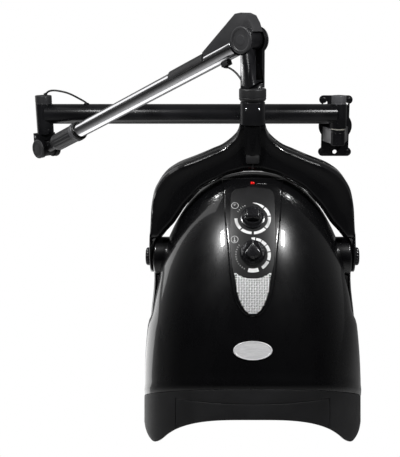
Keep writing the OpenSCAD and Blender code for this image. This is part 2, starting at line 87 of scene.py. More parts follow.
PIN = -Vector(JOINTS["lift"]["axis"])
LOWER, UPPER = pivot("lift"), pivot("head_level")
ALONG = (UPPER - LOWER).normalized()
PLAN = Vector((ALONG.x, ALONG.y, 0)).normalized()
WALL_AT = axes_at(pivot("wall_swing"), (1, 0, 0), (0, 0, 1))
ELBOW_AT = axes_at(pivot("elbow_swing"), (1, 0, 0), (0, 0, 1))
LOWER_AT = axes_at(LOWER, PLAN, (0, 0, 1))
UPPER_AT = axes_at(UPPER, PLAN, (0, 0, 1))
LIFT_AT = axes_at(LOWER, ALONG, ALONG.cross(PIN))
LIFT_ROD = axes_at(LOWER, PIN, ALONG)
HEAD_XY = pivot("hood_swivel")
HEAD_AT = axes_at((HEAD_XY.x, HEAD_XY.y, 0), (1, 0, 0), (0, 0, 1))
TILT_AT = axes_at(pivot("hood_tilt"), (1, 0, 0), (0, 0, 1))
HOOD_UP = Vector(JOINTS["fan_spin"]["axis"])
HOOD_AT = axes_at(pivot("fan_spin") - 250 * MM * HOOD_UP, (1, 0, 0), HOOD_UP)
FACING = {name: axes_at(pivot(name), (1, 0, 0), JOINTS[name]["axis"]) for name in ("timer_turn", "heat_turn")}


def along_x(place, start=0.0, side=1):
    """A frame whose Z runs along +X or -X of another one, start millimetres out."""
    turn = Matrix.Rotation(side * math.pi / 2, 4, "Y")
    return place @ Matrix.Translation((side * start * MM, 0, 0)) @ turn


def along_y(place, start=0.0, side=1):
    """A frame whose Z runs along +Y or -Y of another one, start millimetres out."""
    turn = Matrix.Rotation(-side * math.pi / 2, 4, "X")
    return place @ Matrix.Translation((0, side * start * MM, 0)) @ turn


def raised(place, z):
    return place @ Matrix.Translation((0, 0, z * MM))


# ---------------------------------------------------------------- sizes and colours a user would change

class DryerSizes(bpy.types.PropertyGroup):
    edge: FloatProperty(name="Edge Radius", description="Radius that sharp edges are eased by",
                        default=0.7 * MM, min=0.0, unit="LENGTH")
    arm_lead: FloatProperty(name="Arm Lead Diameter", description="Diameter of the lead at the elbow",
                            default=3.8 * MM, min=0.001, unit="LENGTH")
    head_lead: FloatProperty(name="Head Lead Diameter", description="Diameter of the lead at the head",
                             default=3.2 * MM, min=0.001, unit="LENGTH")
    wire: FloatProperty(name="Grille Wire", description="Diameter of the grille's woven wire",
                        default=1.9 * MM, min=0.0005, unit="LENGTH")
    pitch: FloatProperty(name="Grille Pitch", description="Distance between neighbouring grille wires",
                         default=3.8 * MM, min=0.002, unit="LENGTH")


class DryerColours(bpy.types.PropertyGroup):
    shell: FloatVectorProperty(name="Shell", description="Colour of the glossy hood and yoke",
                               subtype="COLOR", default=(0.0035, 0.0035, 0.004), min=0, max=1)
    paint: FloatVectorProperty(name="Paint", description="Colour of the painted tube and castings",
                               subtype="COLOR", default=(0.007, 0.007, 0.008), min=0, max=1)
    skirt: FloatVectorProperty(name="Skirt", description="Colour of the matt skirt",
                               subtype="COLOR", default=(0.014, 0.014, 0.015), min=0, max=1)
    cap: FloatVectorProperty(name="Caps", description="Colour of the dark grey caps",
                             subtype="COLOR", default=(0.032, 0.032, 0.034), min=0, max=1)
    mark: FloatVectorProperty(name="Marks", description="Colour of the printed dial marks",
                              subtype="COLOR", default=(0.85, 0.85, 0.85), min=0, max=1)


def sizes():
    return bpy.context.scene.dryer_sizes


def colours():
    return bpy.context.scene.dryer_colours


# ---------------------------------------------------------------- shader maths

class Socket:
    """A shader value. Arithmetic on it adds Math nodes."""

    def __init__(self, shader, link):
        self.shader = shader
        self.link = link

    def maths(self, operation, *values):
        return self.shader.node("ShaderNodeMath", {"operation": operation}, dict(enumerate(values)))

    def __add__(self, other):
        return self.maths("ADD", self, other)

    def __sub__(self, other):
        return self.maths("SUBTRACT", self, other)

    def __mul__(self, other):
        return self.maths("MULTIPLY", self, other)

    def __rsub__(self, other):
        return self.maths("SUBTRACT", other, self)

    __radd__ = __add__
    __rmul__ = __mul__


class Shader:
    """A material and the few calls that fill it with nodes."""

    def __init__(self, name):
        self.material = bpy.data.materials.new(name)
        self.material.use_nodes = True
        self.tree = self.material.node_tree
        self.surface = self.tree.nodes["Principled BSDF"]
        self.place = self.node("ShaderNodeTexCoord", out="Object")

    def node(self, kind, settings=None, values=None, out=0):
        """Adds a node: its settings first, then the values or links of its sockets."""
        made = self.tree.nodes.new(kind)
        for key, value in (settings or {}).items():
            if key == "stops":
                ramp = made.color_ramp
                ends = (ramp.elements[0], ramp.elements[-1])
                for stop, (position, colour) in zip(ends, (value[0], value[-1])):
                    stop.position, stop.color = position, (*colour, 1)
                for position, colour in value[1:-1]:
                    ramp.elements.new(position).color = (*colour, 1)
            else:
                setattr(made, key, value)
        for key, value in (values or {}).items():
            self.feed(made.inputs[key], value)
        return Socket(self, made.outputs[out])

    def feed(self, socket, value):
        if isinstance(value, Socket):
            self.tree.links.new(value.link, socket)
        else:
            socket.default_value = value

    def set(self, **values):
        """Sets or links the surface's own sockets, named with _ for a space."""
        for key, value in values.items():
            if key == "Base_Color" and not isinstance(value, Socket):
                value = (*value, 1)
            self.feed(self.surface.inputs[key.replace("_", " ")], value)

    def noise(self, scale, detail=3.0, rough=0.55, at=None):
        return self.node("ShaderNodeTexNoise", None,
                         {"Vector": at or self.place, "Scale": scale, "Detail": detail, "Roughness": rough})

    def cells(self, scale, at=None):
        return self.node("ShaderNodeTexVoronoi", None, {"Vector": at or self.place, "Scale": scale})

    def stretched(self, scale, turn=(0, 0, 0)):
        return self.node("ShaderNodeMapping", None, {"Vector": self.place, "Scale": scale, "Rotation": turn})

    def ranged(self, value, low, high, to_low, to_high):
        return self.node("ShaderNodeMapRange", {"interpolation_type": "SMOOTHSTEP"},
                         {"Value": value, "From Min": low, "From Max": high,
                          "To Min": to_low, "To Max": to_high})

    def blend(self, factor, a, b):
        """A colour between two, by a value."""
        mix = self.tree.nodes.new("ShaderNodeMix")
        mix.data_type = "RGBA"
        self.feed(mix.inputs[0], factor)
        for socket, colour in ((mix.inputs[6], a), (mix.inputs[7], b)):
            self.feed(socket, colour if isinstance(colour, Socket) else (*colour, 1))
        return Socket(self, mix.outputs[2])

    def bump(self, height, depth, strength=1.0):
        """A bump of a height field that is depth metres deep."""
        self.set(Normal=self.node("ShaderNodeBump", None,
                                  {"Height": height, "Distance": depth, "Strength": strength}))


def tint(colour, factor):
    return tuple(min(1.0, c * factor) for c in colour)


# ---------------------------------------------------------------- materials

MADE = {}


def finish_of(name):
    """The material of a finish, made on first use."""
    if name not in MADE:
        MADE[name] = FINISHES[name]()
    return MADE[name]


def gloss_shell():
    """Polished black shell: a faint moulding ripple, hazy wiping marks and specks of dust."""
    s = Shader("gloss_shell")
    haze = s.noise(9.0, 4.0, 0.6)
    dust = s.ranged(s.cells(900.0), 0.0, 0.12, 1.0, 0.0)
    wiped = s.noise(60.0, 5.0, 0.7, s.stretched((1.0, 1.0, 0.25)))
    s.set(Base_Color=s.blend(dust * 0.25, colours().shell, tint(colours().shell, 3.0)),
          Roughness=s.ranged(haze + wiped * 0.5, 0.5, 1.0, 0.24, 0.33) + dust * 0.05,
          Coat_Weight=1.0, Coat_Roughness=0.03, Coat_IOR=1.4, Specular_IOR_Level=0.3)
    s.bump(s.noise(26.0, 2.0), 0.00025, 0.25)
    return s.material


def satin_paint():
    """Satin black powder coat over tube and castings, with its fine orange peel and patchy dust."""
    s = Shader("satin_paint")
    peel = s.noise(1400.0, 3.0, 0.6)
    patches = s.noise(14.0, 3.0, 0.5)
    s.set(Base_Color=s.blend(s.ranged(patches, 0.35, 0.7, 0.0, 1.0), tint(colours().paint, 0.8),
                             tint(colours().paint, 1.5)),
          Roughness=s.ranged(patches, 0.3, 0.7, 0.24, 0.32), Specular_IOR_Level=0.3)
    s.bump(peel, 0.00012, 0.35)
    return s.material


def grained(name, colour, roughness, grain=1100.0, depth=0.00018):
    """Moulded plastic with a spark-eroded grain and a little uneven sheen."""
    s = Shader(name)
    pits = s.cells(grain)
    soft = s.noise(grain * 0.45, 4.0, 0.65)
    cloud = s.noise(18.0, 3.0, 0.5)
    s.set(Base_Color=s.blend(s.ranged(cloud + soft * 0.3, 0.45, 0.9, 0.0, 1.0), tint(colour, 0.8),
                             tint(colour, 1.35)),
          Roughness=s.ranged(soft, 0.3, 0.7, roughness - 0.06, roughness + 0.06), Specular_IOR_Level=0.45)
    s.bump(pits * 0.5 + soft, depth, 0.5)
    return s.material


def skirt_plastic():
    return grained("skirt_plastic", colours().skirt, 0.5)


def cap_plastic():
    return grained("cap_plastic", colours().cap, 0.42, 1500.0, 0.0001)


def grey_plastic():
    return grained("grey_plastic", tint(colours().cap, 2.6), 0.42, 1500.0, 0.0001)


def knob_plastic():
    return grained("knob_plastic", tint(colours().paint, 1.3), 0.26, 1900.0, 0.00005)


def overlay_film():
    """Charcoal printed film with a satin texture."""
    return grained("overlay_film", (0.009, 0.009, 0.0095), 0.42, 2400.0, 0.00005)


def lead_rubber():
    return grained("lead_rubber", (0.007, 0.007, 0.007), 0.45, 2000.0, 0.0001)


def nylon():
    return grained("nylon", (0.62, 0.6, 0.53), 0.45, 900.0, 0.00008)


def fan_plastic():
    return grained("fan_plastic", (0.55, 0.55, 0.52), 0.4, 900.0, 0.00008)


def motor_enamel():
    return grained("motor_enamel", (0.08, 0.08, 0.088), 0.4, 1300.0, 0.00012)


def polished(name, colour, roughness, stretch, depth):
    """Bright metal with fine lines drawn along one direction."""
    s = Shader(name)
    lines = s.noise(700.0, 4.0, 0.7, s.stretched(*stretch))
    smear = s.noise(22.0, 3.0, 0.5)
    s.set(Base_Color=s.blend(s.ranged(lines, 0.3, 0.7, 0.0, 1.0), tint(colour, 0.9), tint(colour, 1.06)),
          Metallic=1.0, Roughness=s.ranged(lines + smear * 0.6, 0.5, 1.1, roughness * 0.7, roughness * 1.5))
    s.bump(lines, depth, 0.4)
    return s.material


def lift_turn():
    """Mapping rotation that lays a pattern's X along the lift arm."""
    return LIFT_AT.to_3x3().inverted().to_euler()


def chrome():
    return polished("chrome", (0.86, 0.86, 0.88), 0.15, ((0.06, 1.0, 1.0), lift_turn()), 0.00001)


def zinc():
    return polished("zinc", (0.55, 0.55, 0.57), 0.24, ((1.0, 1.0, 0.2), (0, 0, 0)), 0.00004)


def brushed_sheet():
    return polished("brushed_sheet", (0.42, 0.42, 0.43), 0.36, ((0.12, 0.12, 1.4), (0, 0, 0)), 0.00006)


def badge_plate():
    """Pale silver lacquer with fine lines brushed across it."""
    s = Shader("badge_plate")
    lines = s.noise(900.0, 4.0, 0.7, s.stretched((0.06, 1.0, 1.0)))
    s.set(Base_Color=s.blend(s.ranged(lines, 0.3, 0.7, 0.0, 1.0), (0.72, 0.72, 0.73), (0.9, 0.9, 0.91)),
          Metallic=0.1, Roughness=s.ranged(lines, 0.3, 0.7, 0.3, 0.45))
    s.bump(lines, 0.00004, 0.4)
    return s.material


def grille_wire():
    """Silver-lacquered wire of the woven grille."""
    s = Shader("grille_wire")
    worn = s.noise(1300.0, 4.0, 0.7)
    s.set(Base_Color=s.blend(s.ranged(worn, 0.3, 0.7, 0.0, 1.0), (0.85, 0.85, 0.86), (0.97, 0.97, 0.97)),
          Metallic=0.2, Roughness=s.ranged(worn, 0.3, 0.7, 0.32, 0.5))
    s.bump(worn, 0.00003, 0.3)
    return s.material


def heated_wire():
    return polished("heated_wire", (0.28, 0.16, 0.09), 0.45, ((1.0, 1.0, 1.0), (0, 0, 0)), 0.00005)


def print_white():
    """Screen-printed white ink with a slightly ragged density."""
    s = Shader("print_white")
    ink = s.noise(1600.0, 4.0, 0.7)
    s.set(Base_Color=s.blend(s.ranged(ink, 0.3, 0.65, 0.0, 1.0), tint(colours().mark, 0.86), colours().mark),
          Roughness=s.ranged(ink, 0.3, 0.7, 0.4, 0.55))
    s.bump(ink, 0.00003, 0.3)
    return s.material


def print_grey():
    """Thinner grey ink of the icons and tick marks."""
    s = Shader("print_grey")
    ink = s.noise(1600.0, 4.0, 0.7)
    s.set(Base_Color=s.blend(s.ranged(ink, 0.3, 0.65, 0.0, 1.0), (0.32, 0.32, 0.32), (0.5, 0.5, 0.5)),
          Roughness=s.ranged(ink, 0.3, 0.7, 0.42, 0.55))
    s.bump(ink, 0.00003, 0.3)
    return s.material


def lamp_lens():
    """Red moulded lens: fine prisms in its roughness and bump, and painted glow where they gather the light,
    as red lightened in the prism pattern and a faint even emission.
    """
    s = Shader("lamp_lens")
    prism_relief_and_glow = s.noise(900.0, 2.0, 0.5)
    # painted glow: the lighter red in the prism pattern and the faint emission stand in for light the prisms
    # gather
    s.set(Base_Color=s.blend(s.ranged(prism_relief_and_glow, 0.35, 0.65, 0.0, 1.0),
                             (0.42, 0.004, 0.004), (0.85, 0.02, 0.015)),
          Roughness=s.ranged(prism_relief_and_glow, 0.3, 0.7, 0.1, 0.2), Coat_Weight=0.8, Coat_Roughness=0.05,
          Emission_Color=(0.8, 0.01, 0.01, 1.0), Emission_Strength=0.25)
    s.bump(prism_relief_and_glow, 0.0001, 0.4)
    return s.material


FINISHES = {
    "gloss_shell": gloss_shell, "satin_paint": satin_paint, "skirt_plastic": skirt_plastic,
    "cap_plastic": cap_plastic, "grey_plastic": grey_plastic, "knob_plastic": knob_plastic,
    "overlay_film": overlay_film, "lead_rubber": lead_rubber, "nylon": nylon, "fan_plastic": fan_plastic,
    "motor_enamel": motor_enamel, "chrome": chrome, "zinc": zinc, "brushed_sheet": brushed_sheet,
    "badge_plate": badge_plate, "grille_wire": grille_wire, "heated_wire": heated_wire,
    "print_white": print_white, "print_grey": print_grey, "lamp_lens": lamp_lens,
}


# ---------------------------------------------------------------- mesh helpers (profiles in millimetres)

def settle(obj, place=None):
    """Applies the piece's modifiers, then its place, so that its object sits at the origin."""
    view_layer = bpy.context.view_layer
    view_layer.update()
    mesh = bpy.data.meshes.new_from_object(obj.evaluated_get(bpy.context.evaluated_depsgraph_get()))
    obj.modifiers.clear()
    if obj.type == "MESH":
        obj.data = mesh
    else:
        name = obj.name
        bpy.data.objects.remove(obj)
        obj = bpy.data.objects.new(name, mesh)
        bpy.context.collection.objects.link(obj)
    if place is not None:
        mesh.transform(place)
    obj.matrix_world = Matrix.Identity(4)
    return obj


def shade(obj, angle=35.0):
    """Smooth shading that keeps edges sharper than the angle."""
    for polygon in obj.data.polygons:
        polygon.use_smooth = True
    obj.data.set_sharp_from_angle(angle=math.radians(angle))
    return obj


def mesh_object(name, points, faces, place=None):
    mesh = bpy.data.meshes.new(name)
    mesh.from_pydata([Vector(p) * MM for p in points], [], faces)
    mesh.update()
    obj = bpy.data.objects.new(name, mesh)
    bpy.context.collection.objects.link(obj)
    if place is not None:
        mesh.transform(place)
    return obj


def dress(obj, body, finish, slot, *nodes, angle=35.0):
    """Gives a piece its finish, its body and the CAD nodes it stands for; the record slot is not used."""
    obj.data.materials.clear()
    obj.data.materials.append(finish_of(finish))
    if obj.type == "MESH":
        shade(obj, angle)
    if nodes:
        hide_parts(*nodes)
    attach(obj, body)
    return obj


def clean(obj, gap=0.02 * MM, outwards=True):
    """Merges doubled points and turns the faces outwards."""
    mesh = bmesh.new()
    mesh.from_mesh(obj.data)
    bmesh.ops.remove_doubles(mesh, verts=mesh.verts, dist=gap)
    if outwards:
        bmesh.ops.recalc_face_normals(mesh, faces=mesh.faces)
    mesh.to_mesh(obj.data)
    mesh.free()
    return obj


def eased(points, closed=False, steps=4):
    """A profile of (radius, height, fillet) points with its corners rounded by arcs."""
    count = len(points)
    out = []
    for i, point in enumerate(points):
        here = Vector(point[:2])
        fillet = point[2] if len(point) > 2 else 0.0
        inner = closed or 0 < i < count - 1
        if not inner or fillet <= 0:
            out.append(here)
            continue
        back = Vector(points[i - 1][:2]) - here
        ahead = Vector(points[(i + 1) % count][:2]) - here
        half = back.angle(ahead) / 2
        reach = min(fillet / math.tan(half), 0.49 * back.length, 0.49 * ahead.length)
        radius = reach * math.tan(half)
        middle = here + (back.normalized() + ahead.normalized()).normalized() * radius / math.sin(half)
        start = here + back.normalized() * reach - middle
        sweep = start.angle_signed(here + ahead.normalized() * reach - middle)
        out += [middle + Matrix.Rotation(-sweep * k / steps, 2) @ start for k in range(steps + 1)]
    return out


def turned(name, profile, place, steps=72, closed=False):
    """A turned piece: a profile from top to bottom, screwed about its own Z and then put in place."""
    line = eased(profile, closed)
    edges = [(i, i + 1) for i in range(len(line) - 1)]
    if closed:
        edges.append((len(line) - 1, 0))
    mesh = bpy.data.meshes.new(name)
    mesh.from_pydata([(p.x * MM, 0, p.y * MM) for p in line], edges, [])
    obj = bpy.data.objects.new(name, mesh)
    bpy.context.collection.objects.link(obj)
    screw = obj.modifiers.new("turning", "SCREW")
    screw.steps = screw.render_steps = steps
    screw.use_merge_vertices = True
    screw.merge_threshold = 0.01 * MM
    screw.use_normal_calculate = True
    return clean(settle(obj, place))


def joined(name, objs):
    """Several meshes as one object."""
    mesh = bmesh.new()
    for obj in objs:
        mesh.from_mesh(obj.data)
    whole = bpy.data.meshes.new(name)
    mesh.to_mesh(whole)
    mesh.free()
    for obj in objs:
        bpy.data.objects.remove(obj)
    obj = bpy.data.objects.new(name, whole)
    bpy.context.collection.objects.link(obj)
    return obj


def eased_copy(name, node, radius=None, segments=3, angle=28.0):
    """A merged copy of a CAD node with its sharp edges eased."""
    copy = bpy.data.objects.new(name, frame["nodes"][node].data.copy())
    bpy.context.collection.objects.link(copy)
    mesh = bmesh.new()
    mesh.from_mesh(copy.data)
    bmesh.ops.remove_doubles(mesh, verts=mesh.verts, dist=0.01 * MM)
    bmesh.ops.dissolve_limit(mesh, angle_limit=math.radians(0.6), verts=mesh.verts, edges=mesh.edges)
    mesh.to_mesh(copy.data)
    mesh.free()
    bevel = copy.modifiers.new("eased edges", "BEVEL")
    bevel.width = sizes().edge if radius is None else radius * MM
    bevel.segments = segments
    bevel.limit_method = "ANGLE"
    bevel.angle_limit = math.radians(angle)
    bevel.use_clamp_overlap = True
    return settle(copy)


def keep_node(node, finish):
    """A CAD node that stays as it is, with its finish."""
    mesh = frame["nodes"][node].data
    mesh.materials.clear()
    mesh.materials.append(finish_of(finish))


def grid(name, rows, close=False, place=None, flip=False):
    """A sheet over rows of points, each row as long as the next."""
    wide = len(rows[0])
    points = [p for row in rows for p in row]
    faces = []
    for i in range(len(rows) - 1):
        for k in range(wide if close else wide - 1):
            a, b = i * wide + k, i * wide + (k + 1) % wide
            quad = (a, b, b + wide, a + wide)
            faces.append(quad[::-1] if flip else quad)
    return mesh_object(name, points, faces, place)


def walled(obj, thickness, ease=0.5, offset=-1.0):
    """Gives a sheet its thickness, inwards from its face, and eases the rim."""
    wall = obj.modifiers.new("wall", "SOLIDIFY")
    wall.thickness = thickness * MM
    wall.offset = offset
    wall.use_even_offset = True
    rim = obj.modifiers.new("rim", "BEVEL")
    rim.width = ease * MM
    rim.segments = 3
    rim.limit_method = "ANGLE"
    rim.angle_limit = math.radians(50)
    return settle(obj)


def bar(name, size, place, ease=0.6, taper=1.0):
    """A rounded block, size = (x, y, z) in millimetres, standing on z = 0, its top tapered."""
    half = [size[0] / 2, size[1] / 2]
    points = [(sx * half[0] * t, sy * half[1] * t, z) for z, t in ((0, 1.0), (size[2], taper))
              for sx, sy in ((-1, -1), (1, -1), (1, 1), (-1, 1))]
    faces = [(3, 2, 1, 0), (4, 5, 6, 7), (0, 1, 5, 4), (1, 2, 6, 5), (2, 3, 7, 6), (3, 0, 4, 7)]
    obj = mesh_object(name, points, faces)
    bevel = obj.modifiers.new("ease", "BEVEL")
    bevel.width = ease * MM
    bevel.segments = 4
    return settle(obj, place)


def screw_head(name, radius, place):
    """A pan-head screw with a cross recess."""
    head = turned(name, [(0, 1.5), (radius * 0.55, 1.4, 1), (radius, 0.5, 0.6), (radius, 0, 0),
                         (radius * 0.5, -3, 0), (0, -3)], Matrix.Identity(4), 32)
    slots = [bar("slot", (radius * 1.3, radius * 0.26, 2.0), Matrix.Rotation(a, 4, "Z"), 0.05)
             for a in (0.4, 0.4 + math.pi / 2)]
    for slot in slots:
        slot.data.transform(Matrix.Translation((0, 0, 0.75 * MM)))
        cut = head.modifiers.new("recess", "BOOLEAN")
        cut.operation = "DIFFERENCE"
        cut.object = slot
        cut.solver = "EXACT"
    head = settle(head, place)
    for slot in slots:
        bpy.data.objects.remove(slot)
    return head


# ---------------------------------------------------------------- the hood's dome, in the hood's own frame

DOME_R, DOME_H = 182.0, 388.0
DOME_P, DOME_Q = 2.3, 2.4
CUT_Z, CUT_SLOPE = 6.6, math.tan(math.radians(15))
LIP_HALF, LIP_TOP, LIP_GAP, SKIRT_WALL = math.radians(40), 33.0, 0.3, 3.2
LOBE_TURN = 56.0
PANEL_T = 2.2


def smooth(value, low, high):
    t = min(1.0, max(0.0, (value - low) / (high - low)))
    return t * t * (3 - 2 * t)


def dome_r(z):
    return DOME_R * (1 - (max(z, 0.0) / DOME_H) ** DOME_P) ** (1 / DOME_Q)


def cut_height(phi):
    """Height of the line where the gloss shell meets the skirt, phi round from the front."""
    return CUT_Z + DOME_R * math.cos(phi) * CUT_SLOPE


def degrees_round(phi):
    """Angle round from the front, 0 to 180 degrees to either side."""
    return abs(math.degrees(math.remainder(phi, 2 * math.pi)))


def skirt_edge(phi):
    """Height of the skirt's lower edge: arched at the front, a round lobe at each side, level behind."""
    total = 0.0
    for step in (-5, -2.5, 0, 2.5, 5):
        turn = degrees_round(phi) + step
        total -= 56 * min(abs(turn) / LOBE_TURN, 1) ** 2.6
        total += 14 * smooth(turn, 58, 84) - 17 * smooth(turn, 95, 150)
    return 10 + total / 5


def shell_r(phi, z):
    """Radius of the gloss shell, with a rolled lower edge and a recess behind each side strip."""
    turn = degrees_round(phi)
    above = z - cut_height(phi)
    roll = 1.6 * math.exp(-((above - 9) / 6) ** 2) * (1 - smooth(turn, 62, 100))
    recess = 6.5 * math.exp(-((turn - 88) / 17) ** 2) * smooth(z, 132, 158) * (1 - smooth(z, 206, 236))
    return dome_r(z) + roll - recess


def on_shell(phi, z, out=0.0):
    r = shell_r(phi, z) + out
    return (r * math.sin(phi), -r * math.cos(phi), z)


def on_front(x, z, out=0.0):
    """A point on the front of the dome, x to its right and out from its surface."""
    r = dome_r(z) + out
    return (x, -math.sqrt(max(r * r - x * x, 0.0)), z)


def by_width(outline, z):
    """Half width of an outline of (half width, height) points at a height."""
    for (w0, z0), (w1, z1) in zip(outline, outline[1:]):
        if z0 <= z <= z1:
            t = (z - z0) / (z1 - z0)
            return w0 + (w1 - w0) * t
    return 0.0


CONSOLE = [(0, 160), (9, 162), (16.5, 168), (23.5, 178), (30, 193), (34.6, 219), (38.5, 263), (43, 300),
           (47, 352), (50, 372)]
OVERLAY = [(0, 163), (6, 164.3), (11.5, 168), (18.5, 178), (24, 193), (28.5, 222), (31.5, 236), (33.2, 252),
           (34.5, 290), (34.5, 338), (33, 347), (27, 353.5), (0, 356)]
GRILLE_TOP, GRILLE_DIP = 225.0, 10.0


def panel(name, outline, low, high, out, edge, rows=70, wide=20, sink=0.0):
    """A raised plate over the dome's front inside a mirrored outline, its edge rounded down to the dome."""
    lines = []
    for i in range(rows + 1):
        z = low + (high - low) * (1 - math.cos(math.pi * i / rows)) / 2
        half = by_width(outline, z)
        line = []
        for k in range(-wide, wide + 1):
            t = math.sin(math.pi / 2 * k / wide)
            inset = half * (1 - abs(t))
            end = min(z - low, high - z, inset)
            rise = math.sqrt(max(0.0, 1 - (1 - min(end / edge, 1.0)) ** 2)) if edge else 1.0
            line.append(on_front(half * t, z, sink + (out - sink) * rise))
        lines.append(line)
    return clean(grid(name, lines, place=HOOD_AT), outwards=False)


# ---------------------------------------------------------------- leads

ARM_ROUTE = [(-595, -57, 39.2), (-591.5, -57, 43.2), (-587, -57, 45.9), (-581.5, -57, 47), (-574.5, -57, 47),
             (-567, -57, 46), (-555, -57, 43.5), (-544, -57, 39.5), (-534, -57, 34.5), (-525, -57, 29.5),
             (-518, -57, 25.5), (-513, -57, 22)]
HEAD_ROUTE = [(-219, -376.7, 109), (-213.5, -381.3, 107.2), (-207, -386.8, 103.5), (-201.2, -391.6, 98.5),
              (-196.6, -395.5, 93), (-193.4, -398.2, 88), (-191.8, -399.5, 83.5), (-191.4, -399.8, 79.4)]
TUBE_SIDES = 16


def curved(points, steps=4):
    """Points of a smooth line through the route's own points, in metres."""
    knots = [Vector(p) * MM for p in points]
    ends = [knots[0] * 2 - knots[1]] + knots + [knots[-1] * 2 - knots[-2]]
    line = []
    for i in range(1, len(ends) - 2):
        a, b, c, d = ends[i - 1:i + 3]
        for k in range(steps):
            t = k / steps
            line.append(0.5 * (2 * b + (c - a) * t + (2 * a - 5 * b + 4 * c - d) * t * t
                               + (3 * b - a - 3 * c + d) * t ** 3))
    return line + [knots[-1]]


def lead(name, points, diameter):
    """A round lead swept along a line, its ends closed to a point."""
    rings = []
    across = Vector((0, 1, 0))
    for i, here in enumerate(points):
        ahead = (points[min(i + 1, len(points) - 1)] - points[max(i - 1, 0)]).normalized()
        side = ahead.cross(across).normalized()
        across = side.cross(ahead).normalized()
        rings.append([(here + diameter / 2 * (math.cos(a) * side + math.sin(a) * across)) / MM
                      for a in (2 * math.pi * k / TUBE_SIDES for k in range(TUBE_SIDES))])
    first = [points[0] / MM] * TUBE_SIDES
    last = [points[-1] / MM] * TUBE_SIDES
    return clean(grid(name, [first] + rings + [last], close=True))


def length_of(points):
    return sum((b - a).length for a, b in zip(points, points[1:]))


def boot(name, base, tip, r_base, r_tip):
    """A tapered, ribbed strain relief between two points."""
    axis = Vector(tip) - Vector(base)
    tall = axis.length
    profile = [(r_tip * 0.6, tall), (r_tip, tall - 0.4, 0.3)]
    ribs = 3
    for i in range(ribs):
        at = tall * (1 - (i + 0.6) / (ribs + 0.4))
        r = r_tip + (r_base - r_tip) * (i + 1) / (ribs + 1)
        profile += [(r, at + 0.5, 0.2), (r - 0.5, at + 0.2, 0.2),
                    (r - 0.5, at - 0.2, 0.2), (r, at - 0.5, 0.2)]
    profile += [(r_base, 0.6, 0.3), (r_base, 0, 0.1), (0, 0)]
    return turned(name, profile, axes_at(Vector(base) * MM, (0, 1, 0.01), axis), 24)


class DRYER_OT_leads(bpy.types.Operator):
    """Makes the two short lead loops that cross the elbow and the head pivot"""
    bl_idname = "dryer.leads"
    bl_label = "Leads"

    def execute(self, context):
        for name, route, diameter, bodies, span, slot_node in (
                ("arm_lead", ARM_ROUTE, sizes().arm_lead,
                 ("elbow", "swing_arm"), (0, 5), "arm_cable"),
                ("head_lead", HEAD_ROUTE, sizes().head_lead,
                 ("lift_arm", "head_post"), (1, 6), "head_cable")):
            line = curved(route)
            piece = lead(name, line, diameter)
            piece.data.materials.append(finish_of("lead_rubber"))
            shade(piece, 60)
            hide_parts(slot_node)
            length_of(line)
            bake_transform(piece)
        boots = (("elbow_gland", (-596.4, -57, 37.8), (-593.0, -57, 41.6), 4.2, 2.5, "elbow"),
                 ("clip_gland", (-221.5, -374.6, 109.4), (-216.2, -379.1, 108.2), 3.0, 2.1, "lift_arm"),
                 ("collar_gland", (-191.3, -399.9, 77.6), (-191.6, -399.7, 82.0), 3.4, 2.1, "head_post"))
        for name, base, tip, r_base, r_tip, body in boots:
            dress(boot(name, base, tip, r_base, r_tip), body, "lead_rubber", "rubber")
        return {"FINISHED"}


# ---------------------------------------------------------------- wall bracket and swing arm

class DRYER_OT_bracket(bpy.types.Operator):
    """Makes the wall plate with its dimpled ears, the cheeks, cup and pivot shaft"""
    bl_idname = "dryer.bracket"
    bl_label = "Wall Bracket"

    def execute(self, context):
        plate = eased_copy("plate_sheet", "wall_plate", 1.3, 4)
        low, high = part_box("wall_plate")
        dimples = []
        for x in (-1, 1):
            for z in (-1, 1):
                at = Vector(((low.x + high.x) / 2 + x * 26 * MM, low.y, (low.z + high.z) / 2 + z * 55 * MM))
                dimples.append(turned("dimple", [(0, 1.0), (3.2, 0.9, 0.6), (5.4, 0.1, 0.8), (7.2, -0.4, 0.3),
                                                 (7.2, -1.2), (0, -1.2)],
                                      axes_at(at, (1, 0, 0), (0, -1, 0)), 32))
        dress(joined("wall_plate_pressing", [plate] + dimples), "bracket", "satin_paint", "black_paint",
              "wall_plate")
        dress(eased_copy("cheek_plates", "bracket_cheeks", 0.8), "bracket", "brushed_sheet", "sheet_steel",
              "bracket_cheeks")
        cup = [(8.1, -31.4), (14.5, -31.4, 0.8), (14.5, -36, 0.3), (13.9, -36.6, 0.3), (13.9, -38, 0.3),
               (14.5, -38.6, 0.3), (14.5, -61, 0), (14.5, -64, 1.6), (0, -64)]
        dress(turned("pivot_cup_casting", cup, WALL_AT), "bracket", "satin_paint", "black_paint", "pivot_cup")
        keep_node("wall_shaft", "zinc")
        keep_node("wall_washer", "nylon")
        return {"FINISHED"}


